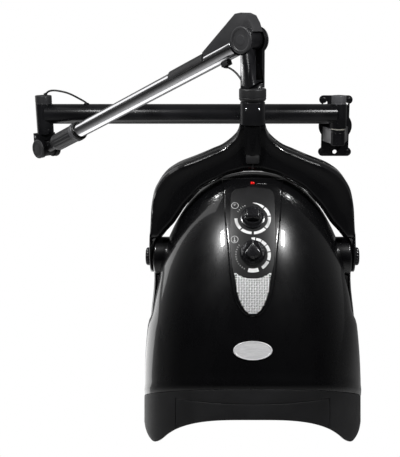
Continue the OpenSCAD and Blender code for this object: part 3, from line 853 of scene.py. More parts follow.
class DRYER_OT_swing_arm(bpy.types.Operator):
    """Makes the tube arm with its two pivot sleeves, end cap and lead grommet"""
    bl_idname = "dryer.swing_arm"
    bl_label = "Swing Arm"

    def execute(self, context):
        dress(eased_copy("arm_tube", "main_tube", 0.25, 2), "swing_arm", "satin_paint", "black_paint",
              "main_tube")
        sleeve = [(11, 20), (16.5, 20, 0.8), (16.5, 17.6, 0.2), (16.2, 17.4, 0.2), (16.2, 16.9, 0.2),
                  (16.5, 16.7, 0.2), (16.5, -29, 0.8), (11, -29)]
        sleeves = [turned("sleeve", sleeve, at) for at in (WALL_AT, ELBOW_AT)]
        dress(joined("pivot_sleeves", sleeves), "swing_arm", "satin_paint", "black_paint", "end_sleeves")
        keep_node("sleeve_bushes", "nylon")
        cap = [(0, 38), (7, 37.9, 2), (10.5, 37.2, 1), (15, 37.2, 1.2), (15, 24, 0.3), (14.6, 23.5, 0.3),
               (14.6, 22.8, 0.3), (15, 22.3, 0.3), (15, 20, 0.3), (9, 20)]
        dress(turned("wall_pivot_cap", cap, WALL_AT), "swing_arm", "grey_plastic", "grey_plastic", "wall_cap")
        centre = (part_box("tube_grommet")[0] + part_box("tube_grommet")[1]) / 2
        ring = [(1.9, 22.5), (3.6, 22.5, 0.8), (5.5, 20.6, 0.5), (5.5, 20, 0.2), (4, 19.8), (4, 17, 0.4),
                (1.9, 17)]
        dress(turned("lead_grommet", ring, Matrix.Translation((centre.x, centre.y, 0)), 32), "swing_arm",
              "lead_rubber", "rubber", "tube_grommet")
        return {"FINISHED"}


# ---------------------------------------------------------------- elbow and lift arm

def pivot_cap(name, place, radius, side):
    """A round pivot cover: crowned rim, shallow dish and a fine raised ring."""
    profile = [(0, 22.0), (radius * 0.34, 22.0, 1.0), (radius * 0.42, 21.7, 0.6), (radius * 0.74, 21.5, 1.0),
               (radius * 0.8, 22.4, 0.8), (radius * 0.93, 22.4, 0.8), (radius, 21.4, 0.9),
               (radius, 19.4, 0.4), (0, 19.4)]
    return turned(name, profile, along_y(place, 0, side), 64)


class DRYER_OT_elbow(bpy.types.Operator):
    """Makes the elbow casting, its cap, screw, pin and the covers of the lower pivot"""
    bl_idname = "dryer.elbow"
    bl_label = "Elbow"

    def execute(self, context):
        dress(eased_copy("elbow_casting", "elbow_fork", 1.1, 4), "elbow", "satin_paint", "black_paint",
              "elbow_fork")
        keep_node("elbow_shaft", "zinc")
        keep_node("lower_pivot_pin", "zinc")
        cap = [(0, 38), (9, 37.9, 2), (12, 37.3, 1), (16.5, 37.3, 1.4), (16.5, 23.4, 0.3), (16.1, 23, 0.3),
               (16.1, 22.4, 0.3), (16.5, 22, 0.3), (16.5, 20.4, 0.4), (9, 20.4)]
        dress(turned("elbow_top_cap", cap, ELBOW_AT), "elbow", "cap_plastic", "grey_plastic", "elbow_cap")
        low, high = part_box("fork_screw")
        middle = (low + high) / 2
        head = screw_head("elbow_screw", 2.5, axes_at(middle - PIN * 2.2 * MM, PLAN, -PIN))
        dress(head, "elbow", "zinc", "zinc", "fork_screw")
        caps = [pivot_cap("cover", LOWER_AT, 19, side) for side in (-1, 1)]
        dress(joined("lower_pivot_covers", caps), "elbow", "cap_plastic", "pivot_grey", "lower_pivot_caps")
        return {"FINISHED"}


def ribbed_sleeve():
    """The moulded sleeve at the lift arm's foot, its flutes running along it."""
    flutes, around = 12, 144
    heights = [(34, 13.0), (35, 13.6), (39, 15.2), (44, 17.0), (46, 17.0), (50, 17.0), (54, 17.0),
               (100, 17.0), (103, 17.0), (105, 17.0), (107.4, 16.9), (108, 16.4), (108, 14.0)]
    rows = []
    for along, radius in heights:
        depth = 0.9 * smooth(along, 45, 51) * (1 - smooth(along, 101, 104))
        row = []
        for k in range(around):
            angle = 2 * math.pi * k / around
            flute = max(0.0, math.cos(flutes * angle)) ** 3
            r = radius - depth * flute
            row.append((along, r * math.sin(angle), r * math.cos(angle)))
        rows.append(row)
    return clean(grid("lift_grip_sleeve", rows, close=True, place=LIFT_AT))


class DRYER_OT_lift_arm(bpy.types.Operator):
    """Makes the chrome lift arm with its fluted sleeve, rings, covers and knuckles"""
    bl_idname = "dryer.lift_arm"
    bl_label = "Lift Arm"

    def execute(self, context):
        reach = (UPPER - LOWER).length / MM
        dress(eased_copy("lower_knuckle", "lift_knuckle", 0.9), "lift_arm", "satin_paint", "black_paint",
              "lift_knuckle")
        dress(eased_copy("top_knuckle", "upper_knuckle", 0.9), "lift_arm", "satin_paint", "black_paint",
              "upper_knuckle")
        dress(ribbed_sleeve(), "lift_arm", "cap_plastic", "pivot_grey", "lift_sleeve")
        ring = [(14, 118), (16.6, 118, 0.8), (18.5, 116.4, 0.8), (18.5, 111, 0.2), (18.1, 110.6, 0.2),
                (18.1, 110, 0.2), (18.5, 109.6, 0.2), (18.5, 108, 0.6), (14, 108)]
        dress(turned("sleeve_ring", ring, LIFT_ROD), "lift_arm", "grey_plastic", "grey_plastic", "lift_ring")
        torus = [(16.1 + 2 * math.cos(a), 120 - 2 * math.sin(a)) for a in
                 (2 * math.pi * k / 16 for k in range(16))]
        dress(turned("stop_ring", torus, LIFT_ROD, 64, closed=True), "lift_arm", "lead_rubber", "rubber",
              "lift_oring")
        tube = [(11.5, reach - 30), (14, reach - 30, 0.7)]
        tube += [(14, reach - 30 - 20 * k) for k in range(1, 26)] + [(14, 40, 0.5), (11.5, 40)]
        dress(turned("chrome_lift_tube", tube, LIFT_ROD, 96), "lift_arm", "chrome", "chrome", "chrome_tube")
        keep_node("balance_spring", "zinc")
        dress(eased_copy("tube_half_cover", "tube_cover", 0.8), "lift_arm", "skirt_plastic", "matt_dark",
              "tube_cover")
        dress(eased_copy("pivot_shroud", "upper_shroud", 1.6, 5), "lift_arm", "cap_plastic", "pivot_grey",
              "upper_shroud")
        dress(eased_copy("lead_clip", "cable_clip", 0.9), "lift_arm", "skirt_plastic", "matt_dark",
              "cable_clip")
        return {"FINISHED"}


# ---------------------------------------------------------------- head post

class DRYER_OT_head_post(bpy.types.Operator):
    """Makes the head post with its fork, pivot covers, collar and spindle"""
    bl_idname = "dryer.head_post"
    bl_label = "Head Post"

    def execute(self, context):
        dress(eased_copy("head_casting", "head_fork", 1.5, 5), "head_post", "satin_paint", "black_paint",
              "head_fork")
        keep_node("upper_pivot_pin", "zinc")
        keep_node("head_spindle", "zinc")
        caps = [pivot_cap("cover", UPPER_AT, 20.8, side) for side in (-1, 1)]
        dress(joined("upper_pivot_covers", caps), "head_post", "cap_plastic", "pivot_grey",
              "upper_pivot_caps")
        collar = [(0, 78), (15, 78, 1), (20.2, 77.4, 1.6), (21.5, 75.6, 0.8), (21.5, 64.2, 0.2),
                  (21.1, 63.8, 0.2), (21.1, 63.2, 0.2), (21.5, 62.8, 0.2), (21.5, 61, 0.8),
                  (19.6, 58, 0.6), (0, 58)]
        dress(turned("head_collar_ring", collar, HEAD_AT), "head_post", "skirt_plastic", "matt_dark",
              "head_collar")
        return {"FINISHED"}


# ---------------------------------------------------------------- yoke

YOKE_FRONT, YOKE_DEPTH = -10.0, 52.0
YOKE_OUTER = [(20, 22), (24, 8), (33, -3), (49, -15), (65, -22), (91, -33), (117, -43), (130, -50),
              (141, -58), (151, -70), (158, -83), (162, -98), (165, -116), (167, -141), (169, -165),
              (170, -185), (170, -202)]
YOKE_INNER = [(14, -54), (24, -56), (40, -60), (58, -69), (81.5, -82), (97, -98), (109.5, -112),
              (119, -126), (128, -139), (140, -152), (151, -165), (158, -166.5), (165.4, -168),
              (165.4, -185), (165.4, -202)]
ARM_ROUND = 26.0


def resampled(points, count):
    """Evenly spaced points of a smooth line through the points given."""
    line = curved([(x, 0, z) for x, z in points], 12)
    total, out, walked, i = length_of(line), [], 0.0, 0
    for k in range(count):
        want = total * k / (count - 1)
        while i < len(line) - 2 and walked + (line[i + 1] - line[i]).length < want:
            walked += (line[i + 1] - line[i]).length
            i += 1
        step = (line[i + 1] - line[i]).length
        point = line[i].lerp(line[i + 1], min(1.0, (want - walked) / step))
        out.append((point.x / MM, point.z / MM))
    return out


def yoke_section(outer, inner):
    """Points round the arm's cross section: crowned front with a bead near its outer edge, square back."""
    ox, oz = outer
    ix, iz = inner
    front, back = YOKE_FRONT, YOKE_FRONT + YOKE_DEPTH
    width = math.hypot(ox - ix, oz - iz)
    points = []
    for k in range(25):
        t = k / 24
        side = min(t, 1 - t) * width
        fall = 7.0 * (1 - min(side / 9.0, 1.0)) ** 2 if width > 12 else 2.2 * (1 - min(side / 2.2, 1.0)) ** 2
        dish = 4.0 * math.sin(math.pi * t) ** 2 * smooth(width, 25, 60)
        bead = 0.0
        if width > 25:
            at = t * width
            bead = 1.3 * math.exp(-((at - 5.2) / 1.1) ** 2)
        y = front + fall + dish * 0.6 - bead + 0.6
        points.append((ox + (ix - ox) * t, y, oz + (iz - oz) * t))
    for y, pull in ((front + 16, 0.0), (back - 6, 0.0), (back - 1.8, 0.3), (back, 1.8)):
        ease = min(pull, width * 0.2) / width
        points.append((ix + (ox - ix) * ease, y, iz + (oz - iz) * ease))
    for y, pull in ((back, 1.8), (back - 1.8, 0.3), (back - 6, 0.0), (front + 16, 0.0)):
        ease = min(pull, width * 0.2) / width
        points.append((ox + (ix - ox) * ease, y, oz + (iz - oz) * ease))
    return points


def yoke_half(side, count=70):
    """One half of the arch from its crown down to the round end at the tilt bolt."""
    outer, inner = resampled(YOKE_OUTER, count), resampled(YOKE_INNER, count)
    first_outer, first_inner = (0.0, 22.0), (0.0, -53.5)
    rows = [yoke_section(first_outer, first_inner), yoke_section((10, 22), (7, -53.8))]
    rows += [yoke_section(a, b) for a, b in zip(outer, inner)]
    middle_y = YOKE_FRONT + YOKE_DEPTH / 2
    last = rows[-1]
    for step in range(1, 9):
        drop = ARM_ROUND * math.sin(math.pi / 2 * step / 8)
        scale = math.cos(math.pi / 2 * step / 8)
        rows.append([(x, middle_y + (y - middle_y) * scale, z - drop) for x, y, z in last])
    return grid("half", [[(side * x, y, z) for x, y, z in row] for row in rows], close=True, place=HEAD_AT)


class DRYER_OT_yoke(bpy.types.Operator):
    """Makes the yoke: neck, spine, crowned arch with its bead, tilt bolts and fluted knobs"""
    bl_idname = "dryer.yoke"
    bl_label = "Yoke"

    def execute(self, context):
        arch = clean(joined("yoke_arch", [yoke_half(1), yoke_half(-1)]), 0.3 * MM)
        dress(arch, "yoke", "gloss_shell", "gloss_black", "yoke_shell", "yoke_cover", angle=45)
        neck = [(7.2, 57.4), (17.6, 57.4, 1.0), (19.5, 56, 0.8), (19.5, 38), (19.5, 21, 0.4), (8, 21)]
        dress(turned("neck_casting", neck, HEAD_AT), "yoke", "satin_paint", "black_paint", "neck_socket")
        low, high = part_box("neck_screws")
        screws = []
        for x in (low.x + 2.6 * MM, high.x - 2.6 * MM):
            at = Vector((x, low.y + 2.6 * MM, (low.z + high.z) / 2))
            screws.append(screw_head("screw", 2.9, axes_at(at, (1, 0, 0), (0, -1, 0))))
        dress(joined("neck_cross_screws", screws), "yoke", "zinc", "zinc", "neck_screws")
        rows = []
        for z, r in ((24, 14.9), (22, 15.4), (18, 15.5), (0, 15.5), (-20, 15.5), (-24.4, 15.4), (-25, 14.6)):
            rows.append(spine_row(z, r))
        dress(walled(clean(grid("spine_cover", rows, place=HEAD_AT), outwards=False), 1.6, 0.4), "yoke",
              "gloss_shell", "gloss_black", "yoke_spine")
        rows = [spine_row(z, r) for z, r in ((-25, 13.4), (-26, 14), (-37, 14), (-38.4, 13.6), (-39, 12.4))]
        foot = walled(clean(grid("spine_foot", rows, place=HEAD_AT), outwards=False), 1.6, 0.4)
        rib = turned("rib", [(0, -36), (1.4, -36.5, 0.3), (1.4, -48, 0), (1.0, -49, 0.4), (0, -49)],
                     HEAD_AT @ Matrix.Translation((0, (YOKE_FRONT - 0.9) * MM, 0)), 24)
        dress(joined("spine_foot_plug", [foot, rib]), "yoke", "skirt_plastic", "matt_dark", "spine_plug")
        keep_node("tilt_bolts", "zinc")
        dress(joined("tilt_hand_knobs", [tilt_knob(side) for side in (-1, 1)]), "yoke", "knob_plastic",
              "knob_black", "tilt_knobs")
        return {"FINISHED"}


def spine_row(z, r, steps=28):
    """Half-round line of the spine in front of the yoke's face, from one edge to the other."""
    reach = math.acos(min(1.0, -YOKE_FRONT / r))
    return [(r * math.sin(a), -r * math.cos(a), z) for a in
            (reach * (2 * k / steps - 1) for k in range(steps + 1))]


def tilt_knob(side):
    """A hand knob with shallow finger flutes and a dished face."""
    around, rows = 96, []
    for out, r in ((170.4, 4.2), (170.4, 13.6), (170.9, 14.6), (172, 15), (175.6, 15), (177.2, 14.2),
                   (178, 12.6), (178, 10.5), (177.2, 9.4), (176.8, 5), (177.4, 3.4), (177.4, 0.01)):
        row = []
        for k in range(around):
            angle = 2 * math.pi * k / around
            flute = 1.1 * max(0.0, math.cos(12 * angle)) ** 2 * smooth(r, 12.8, 14)
            row.append((out, (r - flute) * math.sin(angle), (r - flute) * math.cos(angle)))
        rows.append(row)
    knob = grid("knob", [[(side * x, y, z) for x, y, z in row] for row in rows], close=True, place=TILT_AT)
    return clean(knob)


# ---------------------------------------------------------------- hood

def dome(around=216, rows=64):
    """The gloss shell over its slanting lower edge, closed at the crown."""
    lines = []
    for i in range(rows + 1):
        line = []
        for k in range(around):
            phi = 2 * math.pi * k / around
            low = cut_height(phi) + 0.3
            z = low + (DOME_H - low) * math.sin(math.pi / 2 * i / rows)
            line.append(on_shell(phi, z) if i < rows else (0, 0, DOME_H))
        lines.append(line)
    sheet = clean(grid("gloss_dome", lines, close=True, place=HOOD_AT), outwards=False)
    return walled(sheet, 3.0, 0.8)


def side_strip(side):
    """The curved strip that drops from a tilt boss and runs out into the dome's flank."""
    lines = []
    for z, out, half in ((-196, 166.0, 20), (-206, 165.6, 24), (-222, 165.4, 25), (-238, 165.8, 23.5),
                         (-256, 167.4, 22), (-274, 169.8, 21), (-292, 172.4, 20.5), (-310, 174.6, 20),
                         (-330, 176.2, 19), (-350, 177.2, 18)):
        line = []
        for k in range(17):
            t = k / 8 - 1
            x = out - 3.4 * abs(t) ** 2.6 - 0.9
            line.append((side * x, half * t, z))
        lines.append(line)
    lines = [[(x, y, z + 202) for x, y, z in line] for line in lines]
    return walled(clean(grid("strip", lines, place=TILT_AT, flip=side > 0), outwards=False), 4.2, 0.8)


def tilt_boss(side):
    """The round boss on the dome's flank that the tilt bolt screws into."""
    profile = [(0, 165), (8, 165, 1), (9, 164, 0.4), (28, 164, 3), (33, 160.5, 2.5), (33, 118, 0), (20, 112)]
    return turned("boss", profile, along_x(TILT_AT, 0, side), 72)


def skirt_point(phi, z, low):
    """A point of the skirt's outside, drawn in a little towards its lower edge."""
    r = DOME_R - 0.5 - 0.8 * (1 - smooth(z - low, 0, 4))
    return (r * math.sin(phi), -r * math.cos(phi), z)


def lip_sheet(steps=80):
    """The front lip, from the arched lower edge up to the slot in the skirt."""
    half = LIP_HALF - math.radians(0.1)
    lines = []
    for i in range(steps + 1):
        phi = half * (2 * i / steps - 1)
        low, high = skirt_edge(phi), LIP_TOP - LIP_GAP
        lines.append([skirt_point(phi, low + (high - low) * k / 10, low) for k in range(11)])
    return walled(clean(grid("lip_sheet", lines, place=HOOD_AT, flip=True), outwards=False), SKIRT_WALL, 0.3)


def skirt_wrap(steps=360, slot_steps=90, low_rows=8, high_rows=5):
    """The skirt all the way round, with the slot at its front that the lip fills."""
    slot = LIP_HALF + math.radians(0.25)
    share = (LIP_TOP - skirt_edge(slot)) / (cut_height(slot) - LIP_GAP - skirt_edge(slot))
    rest = steps - slot_steps
    turns = [slot * (2 * i / slot_steps - 1) for i in range(slot_steps)]
    turns += [slot + (2 * math.pi - 2 * slot) * i / rest for i in range(rest)]
    points, faces, index = [], [], {}
    for i, phi in enumerate(turns):
        inside = 0 < i < slot_steps
        low, high = skirt_edge(phi), cut_height(phi) - LIP_GAP
        split = LIP_TOP if inside else low + (high - low) * share
        heights = [low + (split - low) * k / low_rows for k in range(low_rows)]
        heights += [split + (high - split) * k / high_rows for k in range(high_rows + 1)]
        for k, z in enumerate(heights):
            if k >= low_rows or not inside:
                index[i, k] = len(points)
                points.append(skirt_point(phi, z, LIP_TOP if inside else low))
    for i in range(steps):
        for k in range(low_rows + high_rows):
            corners = ((i, k), ((i + 1) % steps, k), ((i + 1) % steps, k + 1), (i, k + 1))
            if all(corner in index for corner in corners) and not (k < low_rows and i < slot_steps):
                faces.append([index[corner] for corner in corners])
    return walled(clean(mesh_object("skirt_wrap", points, faces, HOOD_AT), outwards=False), SKIRT_WALL, 0.3)


class DRYER_OT_hood(bpy.types.Operator):
    """Makes the gloss dome, its side strips and bosses, the skirt, the front lip and the inner parts"""
    bl_idname = "dryer.hood"
    bl_label = "Hood"

    def execute(self, context):
        dress(dome(), "hood", "gloss_shell", "gloss_black", "outer_shell", angle=40)
        sides = [make(side) for make in (side_strip, tilt_boss) for side in (-1, 1)]
        dress(joined("side_strips", sides), "hood", "gloss_shell", "gloss_black", "side_lugs")
        dress(skirt_wrap(), "hood", "skirt_plastic", "matt_dark", "skirt")
        lip = lip_sheet()
        feet = []
        for side in (-1, 1):
            phi = side * (LIP_HALF - math.radians(0.6))
            out = Vector((0, 0.4 - DOME_R, skirt_edge(phi) + 3.2)) * MM
            at = HOOD_AT @ Matrix.Rotation(phi, 4, "Z") @ Matrix.Translation(out)
            feet.append(bar("foot", (2.6, 1.6, 5.0), at, 0.5, 0.8))
        dress(joined("front_lip_panel", [lip] + feet), "hood", "skirt_plastic", "matt_dark", "front_lip")
        for node, finish in (("rim_ring", "skirt_plastic"), ("inner_bowl", "skirt_plastic"),
                             ("heater_duct", "brushed_sheet"), ("heater_element", "heated_wire"),
                             ("fan_deck", "brushed_sheet"), ("motor", "motor_enamel"),
                             ("timer_body", "nylon"), ("thermostat", "nylon"), ("fan_wheel", "fan_plastic")):
            keep_node(node, finish)
        return {"FINISHED"}


# ---------------------------------------------------------------- control panel

INK = 0.06
FILM = 0.35
OVERLAY_OUT = PANEL_T + FILM


def front_tilt(z):
    return math.atan((dome_r(z - 1) - dome_r(z + 1)) / 2)


def on_panel(z_at, u, v, out):
    """A point on the control panel, u across and v up its face from a height on the dome."""
    return on_front(u, z_at + v * math.cos(front_tilt(z_at)), out)


def arc_mark(name, z_at, r_in, r_out, start, end, taper=1.0, steps=14):
    """A printed segment round a dial, its angles clockwise from the top in degrees."""
    rows = []
    for i in range(steps + 1):
        t = i / steps
        angle = math.radians(start + (end - start) * t)
        inner = r_out - (r_out - r_in) * (taper + (1 - taper) * t)
        rows.append([on_panel(z_at, r * math.sin(angle), r * math.cos(angle), OVERLAY_OUT + INK)
                     for r in (inner, (inner + r_out) / 2, r_out)])
    return grid(name, rows, place=HOOD_AT)


def ring_mark(z_at, u, v, r_in, r_out, steps=36):
    rows = []
    for i in range(steps + 1):
        angle = 2 * math.pi * i / steps
        rows.append([on_panel(z_at, u + r * math.sin(angle), v + r * math.cos(angle), OVERLAY_OUT + INK)
                     for r in (r_in, r_out)])
    return grid("ring", rows, place=HOOD_AT)


def line_mark(z_at, a, b, width):
    """A printed stroke between two points of the panel's face."""
    a, b = Vector(a), Vector(b)
    side = Vector((b.y - a.y, a.x - b.x)).normalized() * width / 2
    rows = [[on_panel(z_at, p.x - side.x, p.y - side.y, OVERLAY_OUT + INK),
             on_panel(z_at, p.x + side.x, p.y + side.y, OVERLAY_OUT + INK)]
            for p in (a.lerp(b, t / 3) for t in range(4))]
    return grid("stroke", rows, place=HOOD_AT)


def printed(name, marks, finish):
    """Printed marks as a film of ink with a real thickness, riding on the hood."""
    ink = clean(joined(name, marks), 0.001 * MM, outwards=False)
    film = ink.modifiers.new("film", "SOLIDIFY")
    film.thickness = INK * MM
    film.offset = 0
    ink = settle(ink)
    return dress(clean(ink, 0.001 * MM), "hood", finish, "panel_black")


TIMER_Z, HEAT_Z = 306.0, 251.0
TIMER_RING = (23.3, 28.0)
HEAT_RING = (22.4, 27.2)
ICON_X = -27.5


class DRYER_OT_panel(bpy.types.Operator):
    """Makes the control panel: bezel, printed overlay, dial marks, woven grille, lamp and badge"""
    bl_idname = "dryer.panel"
    bl_label = "Control Panel"

    def execute(self, context):
        bezel = panel("panel_bezel", CONSOLE, 160, 372, PANEL_T, 3.4, 90, 26)
        dress(walled(bezel, 2.0, 0.2), "hood", "gloss_shell", "gloss_black", "console")
        overlay = panel("panel_overlay", OVERLAY, 163.2, 356, OVERLAY_OUT, 0.7, 90, 26, PANEL_T - 0.3)
        dress(overlay, "hood", "overlay_film", "panel_black")
        marks = [arc_mark("timer", TIMER_Z, *TIMER_RING, 0, 40, 0.12)]
        for start, end in ((45, 79), (84, 129), (134, 176), (184, 221), (226, 270)):
            marks.append(arc_mark("timer", TIMER_Z, *TIMER_RING, start, end))
        marks.append(arc_mark("heat", HEAT_Z, *HEAT_RING, -4, 8, 0.55, 6))
        for start, end in ((12, 30), (33, 52), (55, 78), (82, 110), (115, 146)):
            marks.append(arc_mark("heat", HEAT_Z, *HEAT_RING, start, end))
        marks.append(arc_mark("heat", HEAT_Z, HEAT_RING[0] - 0.6, HEAT_RING[1] + 0.6, 160, 196))
        printed("dial_segments", marks, "print_white")
        small = []
        for z_at, v in ((TIMER_Z, 23.0), (HEAT_Z, 24.0)):
            small.append(ring_mark(z_at, ICON_X, v, 4.9, 5.8))
        small.append(line_mark(TIMER_Z, (ICON_X, 23.0), (ICON_X, 26.5), 0.8))
        small.append(line_mark(TIMER_Z, (ICON_X, 23.0), (ICON_X - 2.5, 24.5), 0.8))
        small.append(line_mark(HEAT_Z, (ICON_X, 22.6), (ICON_X, 27.4), 1.1))
        small.append(ring_mark(HEAT_Z, ICON_X, 21.6, 0.0, 1.5, 16))
        for z_at, radius, start, end, count in ((TIMER_Z, 25.6, -62, -28, 5), (HEAT_Z, 25.4, -150, -54, 12)):
            for k in range(count):
                a = math.radians(start + (end - start) * k / (count - 1))
                small.append(line_mark(z_at, ((radius - 1.1) * math.sin(a), (radius - 1.1) * math.cos(a)),
                                       ((radius + 1.1) * math.sin(a), (radius + 1.1) * math.cos(a)), 0.9))
        small.append(line_mark(362, (5.5, 0), (17.5, 0), 0.35))
        small.append(ring_mark(362, 20.0, 0, 0.0, 1.3, 16))
        printed("panel_small_marks", small, "print_grey")
        dress(woven_grille(), "hood", "grille_wire", "mesh_silver", "mesh_grille", angle=60)
        dress(lamp(), "hood", "lamp_lens", "lamp_red", "signal_lamp")
        dress(badge(), "hood", "badge_plate", "badge_silver", "badge")
        return {"FINISHED"}


def grille_half_width(z):
    return max(0.0, by_width(OVERLAY, z) - 1.6)


def grille_top(x):
    """Height of the grille's dished upper edge at a distance from its centre line."""
    return GRILLE_TOP - GRILLE_DIP * math.cos(math.pi / 2 * min(1.0, abs(x) / 28.5))


def woven_grille():
    """Two sets of flat wires woven over and under each other inside the grille's outline."""
    pitch = sizes().pitch / MM
    radius = sizes().wire / MM / 2
    low = 165.5
    curve = bpy.data.curves.new("woven_grille", "CURVE")
    curve.dimensions = "3D"
    curve.bevel_depth = radius * MM
    curve.bevel_resolution = 1
    curve.use_fill_caps = True
    base = PANEL_T + 0.35 + 0.45

    def add(points):
        if len(points) < 3:
            return
        spline = curve.splines.new("POLY")
        spline.points.add(len(points) - 1)
        for dot, p in zip(spline.points, points):
            dot.co = (*(Vector(p) * MM), 1)

    columns = int(30 / pitch) + 1
    z_rows = [low + pitch * k for k in range(int((GRILLE_TOP - low) / pitch) + 1)]
    for i in range(-columns, columns + 1):
        x = i * pitch
        points = []
        for z2 in range(int((GRILLE_TOP - low) / pitch * 4) + 1):
            z = low + z2 * pitch / 4
            if abs(x) < grille_half_width(z) and z < grille_top(x):
                wave = 0.32 * math.cos(math.pi * (z - low) / pitch + math.pi * i)
                points.append(on_front(x, z, base + wave))
        add(points)
    for k, z in enumerate(z_rows):
        half = grille_half_width(z)
        for span in ((-half, half),):
            points = []
            steps = max(4, int((span[1] - span[0]) / pitch * 4))
            for j in range(steps + 1):
                x = span[0] + (span[1] - span[0]) * j / steps
                if z < grille_top(x):
                    wave = -0.32 * math.cos(math.pi * k + math.pi * x / pitch)
                    points.append(on_front(x, z, base + wave))
                elif points:
                    add(points)
                    points = []
            add(points)
    obj = bpy.data.objects.new("woven_grille", curve)
    bpy.context.collection.objects.link(obj)
    return settle(obj, HOOD_AT)


def lamp():
    """The signal lamp's small rectangular lens, its face crowned."""
    z_at = 362.0
    tilt = front_tilt(z_at)
    place = HOOD_AT @ Matrix.Translation(Vector(on_front(0, z_at, 0.5)) * MM) @ Matrix.Rotation(
        math.pi / 2 - tilt, 4, "X")
    return bar("lamp_lens_cover", (6.8, 4.8, 2.6), place, 0.9, 0.92)


def badge():
    """A blank oval plate with a raised rim, following the dome."""
    rows, around, z_at = [], 96, 111.0
    for scale, out in ((1.0, 0.1), (1.0, 0.9), (0.985, 1.3), (0.95, 1.5), (0.915, 1.3), (0.9, 0.95),
                       (0.7, 1.05), (0.4, 1.1), (0.1, 1.12), (0.0, 1.12)):
        row = []
        for k in range(around):
            a = 2 * math.pi * k / around
            row.append(on_front(28.9 * scale * math.sin(a), z_at + 13.8 * scale * math.cos(a), out))
        rows.append(row)
    return clean(grid("blank_badge", rows, close=True, place=HOOD_AT), outwards=True)


# ---------------------------------------------------------------- dials

class DRYER_OT_dials(bpy.types.Operator):
    """Makes the timer knob with its square grip and the heat knob with its pointer"""
    bl_idname = "dryer.dials"
    bl_label = "Dials"

    def execute(self, context):
        timer = FACING["timer_turn"]
        base = [(0, 8.2), (9, 8.2, 1), (12.8, 7.9, 0.8), (14, 7.2, 0.8), (16.6, 4.6, 1.2), (19, 3.9, 0.8),
                (19, 3.2, 0.3), (0, 3.2)]
        grip = bar("grip", (24, 17, 12.5), raised(timer, 6.5), 2.6, 0.86)
        ridges = [bar("ridge", (1.0, 14, 9.5), timer @ Matrix.Translation((x * MM, 0, 7.2 * MM)), 0.4, 0.9)
                  for x in (-11.6, 11.6)]
        dress(joined("timer_dial_knob", [turned("skirt", base, timer, 64), grip] + ridges), "timer_dial",
              "knob_plastic", "knob_black", "timer_knob")
        heat = FACING["heat_turn"]
        base = [(0, 6.6), (17.4, 6.4, 0.6), (19.2, 5.2, 1.0), (20, 3.9, 0.6), (20, 3.2, 0.3), (0, 3.2)]
        dress(joined("heat_dial_knob", [turned("skirt", base, heat, 64), pointer(heat)]), "heat_dial",
              "knob_plastic", "knob_black", "heat_knob")
        dress(crescents(heat), "heat_dial", "zinc", "knob_black")
        return {"FINISHED"}


def pointer(place):
    """The heat knob's teardrop grip: round below, drawn out to a point at the top."""
    rows, around = [], 48
    for height, scale in ((5.8, 1.0), (7.0, 1.0), (12.0, 0.9), (15.6, 0.82), (17.4, 0.74), (18.0, 0.6),
                          (18.1, 0.0)):
        row = []
        for k in range(around):
            a = 2 * math.pi * k / around
            up = math.cos(a)
            width = 12.4 * math.sin(a) * (1 - 0.82 * smooth(up, -0.25, 1.0))
            row.append((width * scale, (17.6 * up if up > 0 else 13.4 * up) * scale, height))
        rows.append(row)
    return clean(grid("pointer", rows, close=True, place=place))


def crescents(place):
    """Thin bright crescents let into the heat knob's skirt on both sides of its pointer."""
    parts = []
    for side in (-1, 1):
        rows = []
        for k in range(15):
            t = k / 14
            a = math.radians(28 + 84 * t) * side
            thick = 3.6 * math.sin(math.pi * t) ** 0.6 + 0.05
            rows.append([((17.0 - w) * math.sin(a), (17.0 - w) * math.cos(a), 6.75)
                         for w in (0, thick / 2, thick)])
        parts.append(grid("crescent", rows, place=place, flip=side > 0))
    sheet = clean(joined("heat_knob_inlay", parts), 0.001 * MM, outwards=False)
    wall = sheet.modifiers.new("wall", "SOLIDIFY")
    wall.thickness = 0.3 * MM
    wall.offset = 0
    return clean(settle(sheet), 0.001 * MM)


# ---------------------------------------------------------------- stage, camera and lights

CAMERA_AT = (-0.1805, -1.637, 0.167)
CAMERA_DIP = math.radians(14.5)
LENS = 36 * 770 / 457
SHIFT_X = -50 / 457
FLOOR_Z = -1.05


def soft_light(name, at, towards, size, power, along=(1, 0, 0)):
    """A rectangular softbox that faces a point, its long side lying along a direction."""
    data = bpy.data.lights.new(name, "AREA")
    data.shape = "RECTANGLE"
    data.size, data.size_y = size
    data.energy = power
    obj = bpy.data.objects.new(name, data)
    bpy.context.collection.objects.link(obj)
    back = (Vector(at) - Vector(towards)).normalized()
    across = (Vector(along) - back * back.dot(Vector(along))).normalized()
    turn = Matrix((across, back.cross(across), back)).transposed().to_4x4()
    obj.matrix_world = Matrix.Translation(at) @ turn
    return obj


def mirrored(spot, normal, distance):
    """Where a light has to hang for the camera to see it in a glossy surface at a spot."""
    sight = (spot - Vector(CAMERA_AT)).normalized()
    return spot + (sight - 2 * sight.dot(normal) * normal) * distance


def dome_glint(name, x, z, distance, size, power):
    """A softbox that shows at a point of the dome's front."""
    spot = HOOD_AT @ (Vector(on_front(x, z)) * MM)
    tilt, lean = front_tilt(z), math.asin(x / dome_r(z))
    normal = Vector((math.sin(lean) * math.cos(tilt), -math.cos(lean) * math.cos(tilt), math.sin(tilt)))
    return soft_light(name, mirrored(spot, HOOD_AT.to_3x3() @ normal, distance), spot, size, power)


def rod_band(name, place, along, turn, distance, size, power):
    """A strip light that shows as a band along a round rod, turned up or down from its middle."""
    spot, axis = place @ Vector((0, 0, along * MM)), place.to_3x3() @ Vector((0, 0, 1))
    sight = (Vector(CAMERA_AT) - spot).normalized()
    front = (sight - axis * axis.dot(sight)).normalized()
    upper = axis.cross(front)
    upper = upper if upper.z > 0 else -upper
    angle = math.radians(turn)
    normal = math.cos(angle) * front + math.sin(angle) * upper
    return soft_light(name, mirrored(spot, normal, distance), spot, size, power, axis)


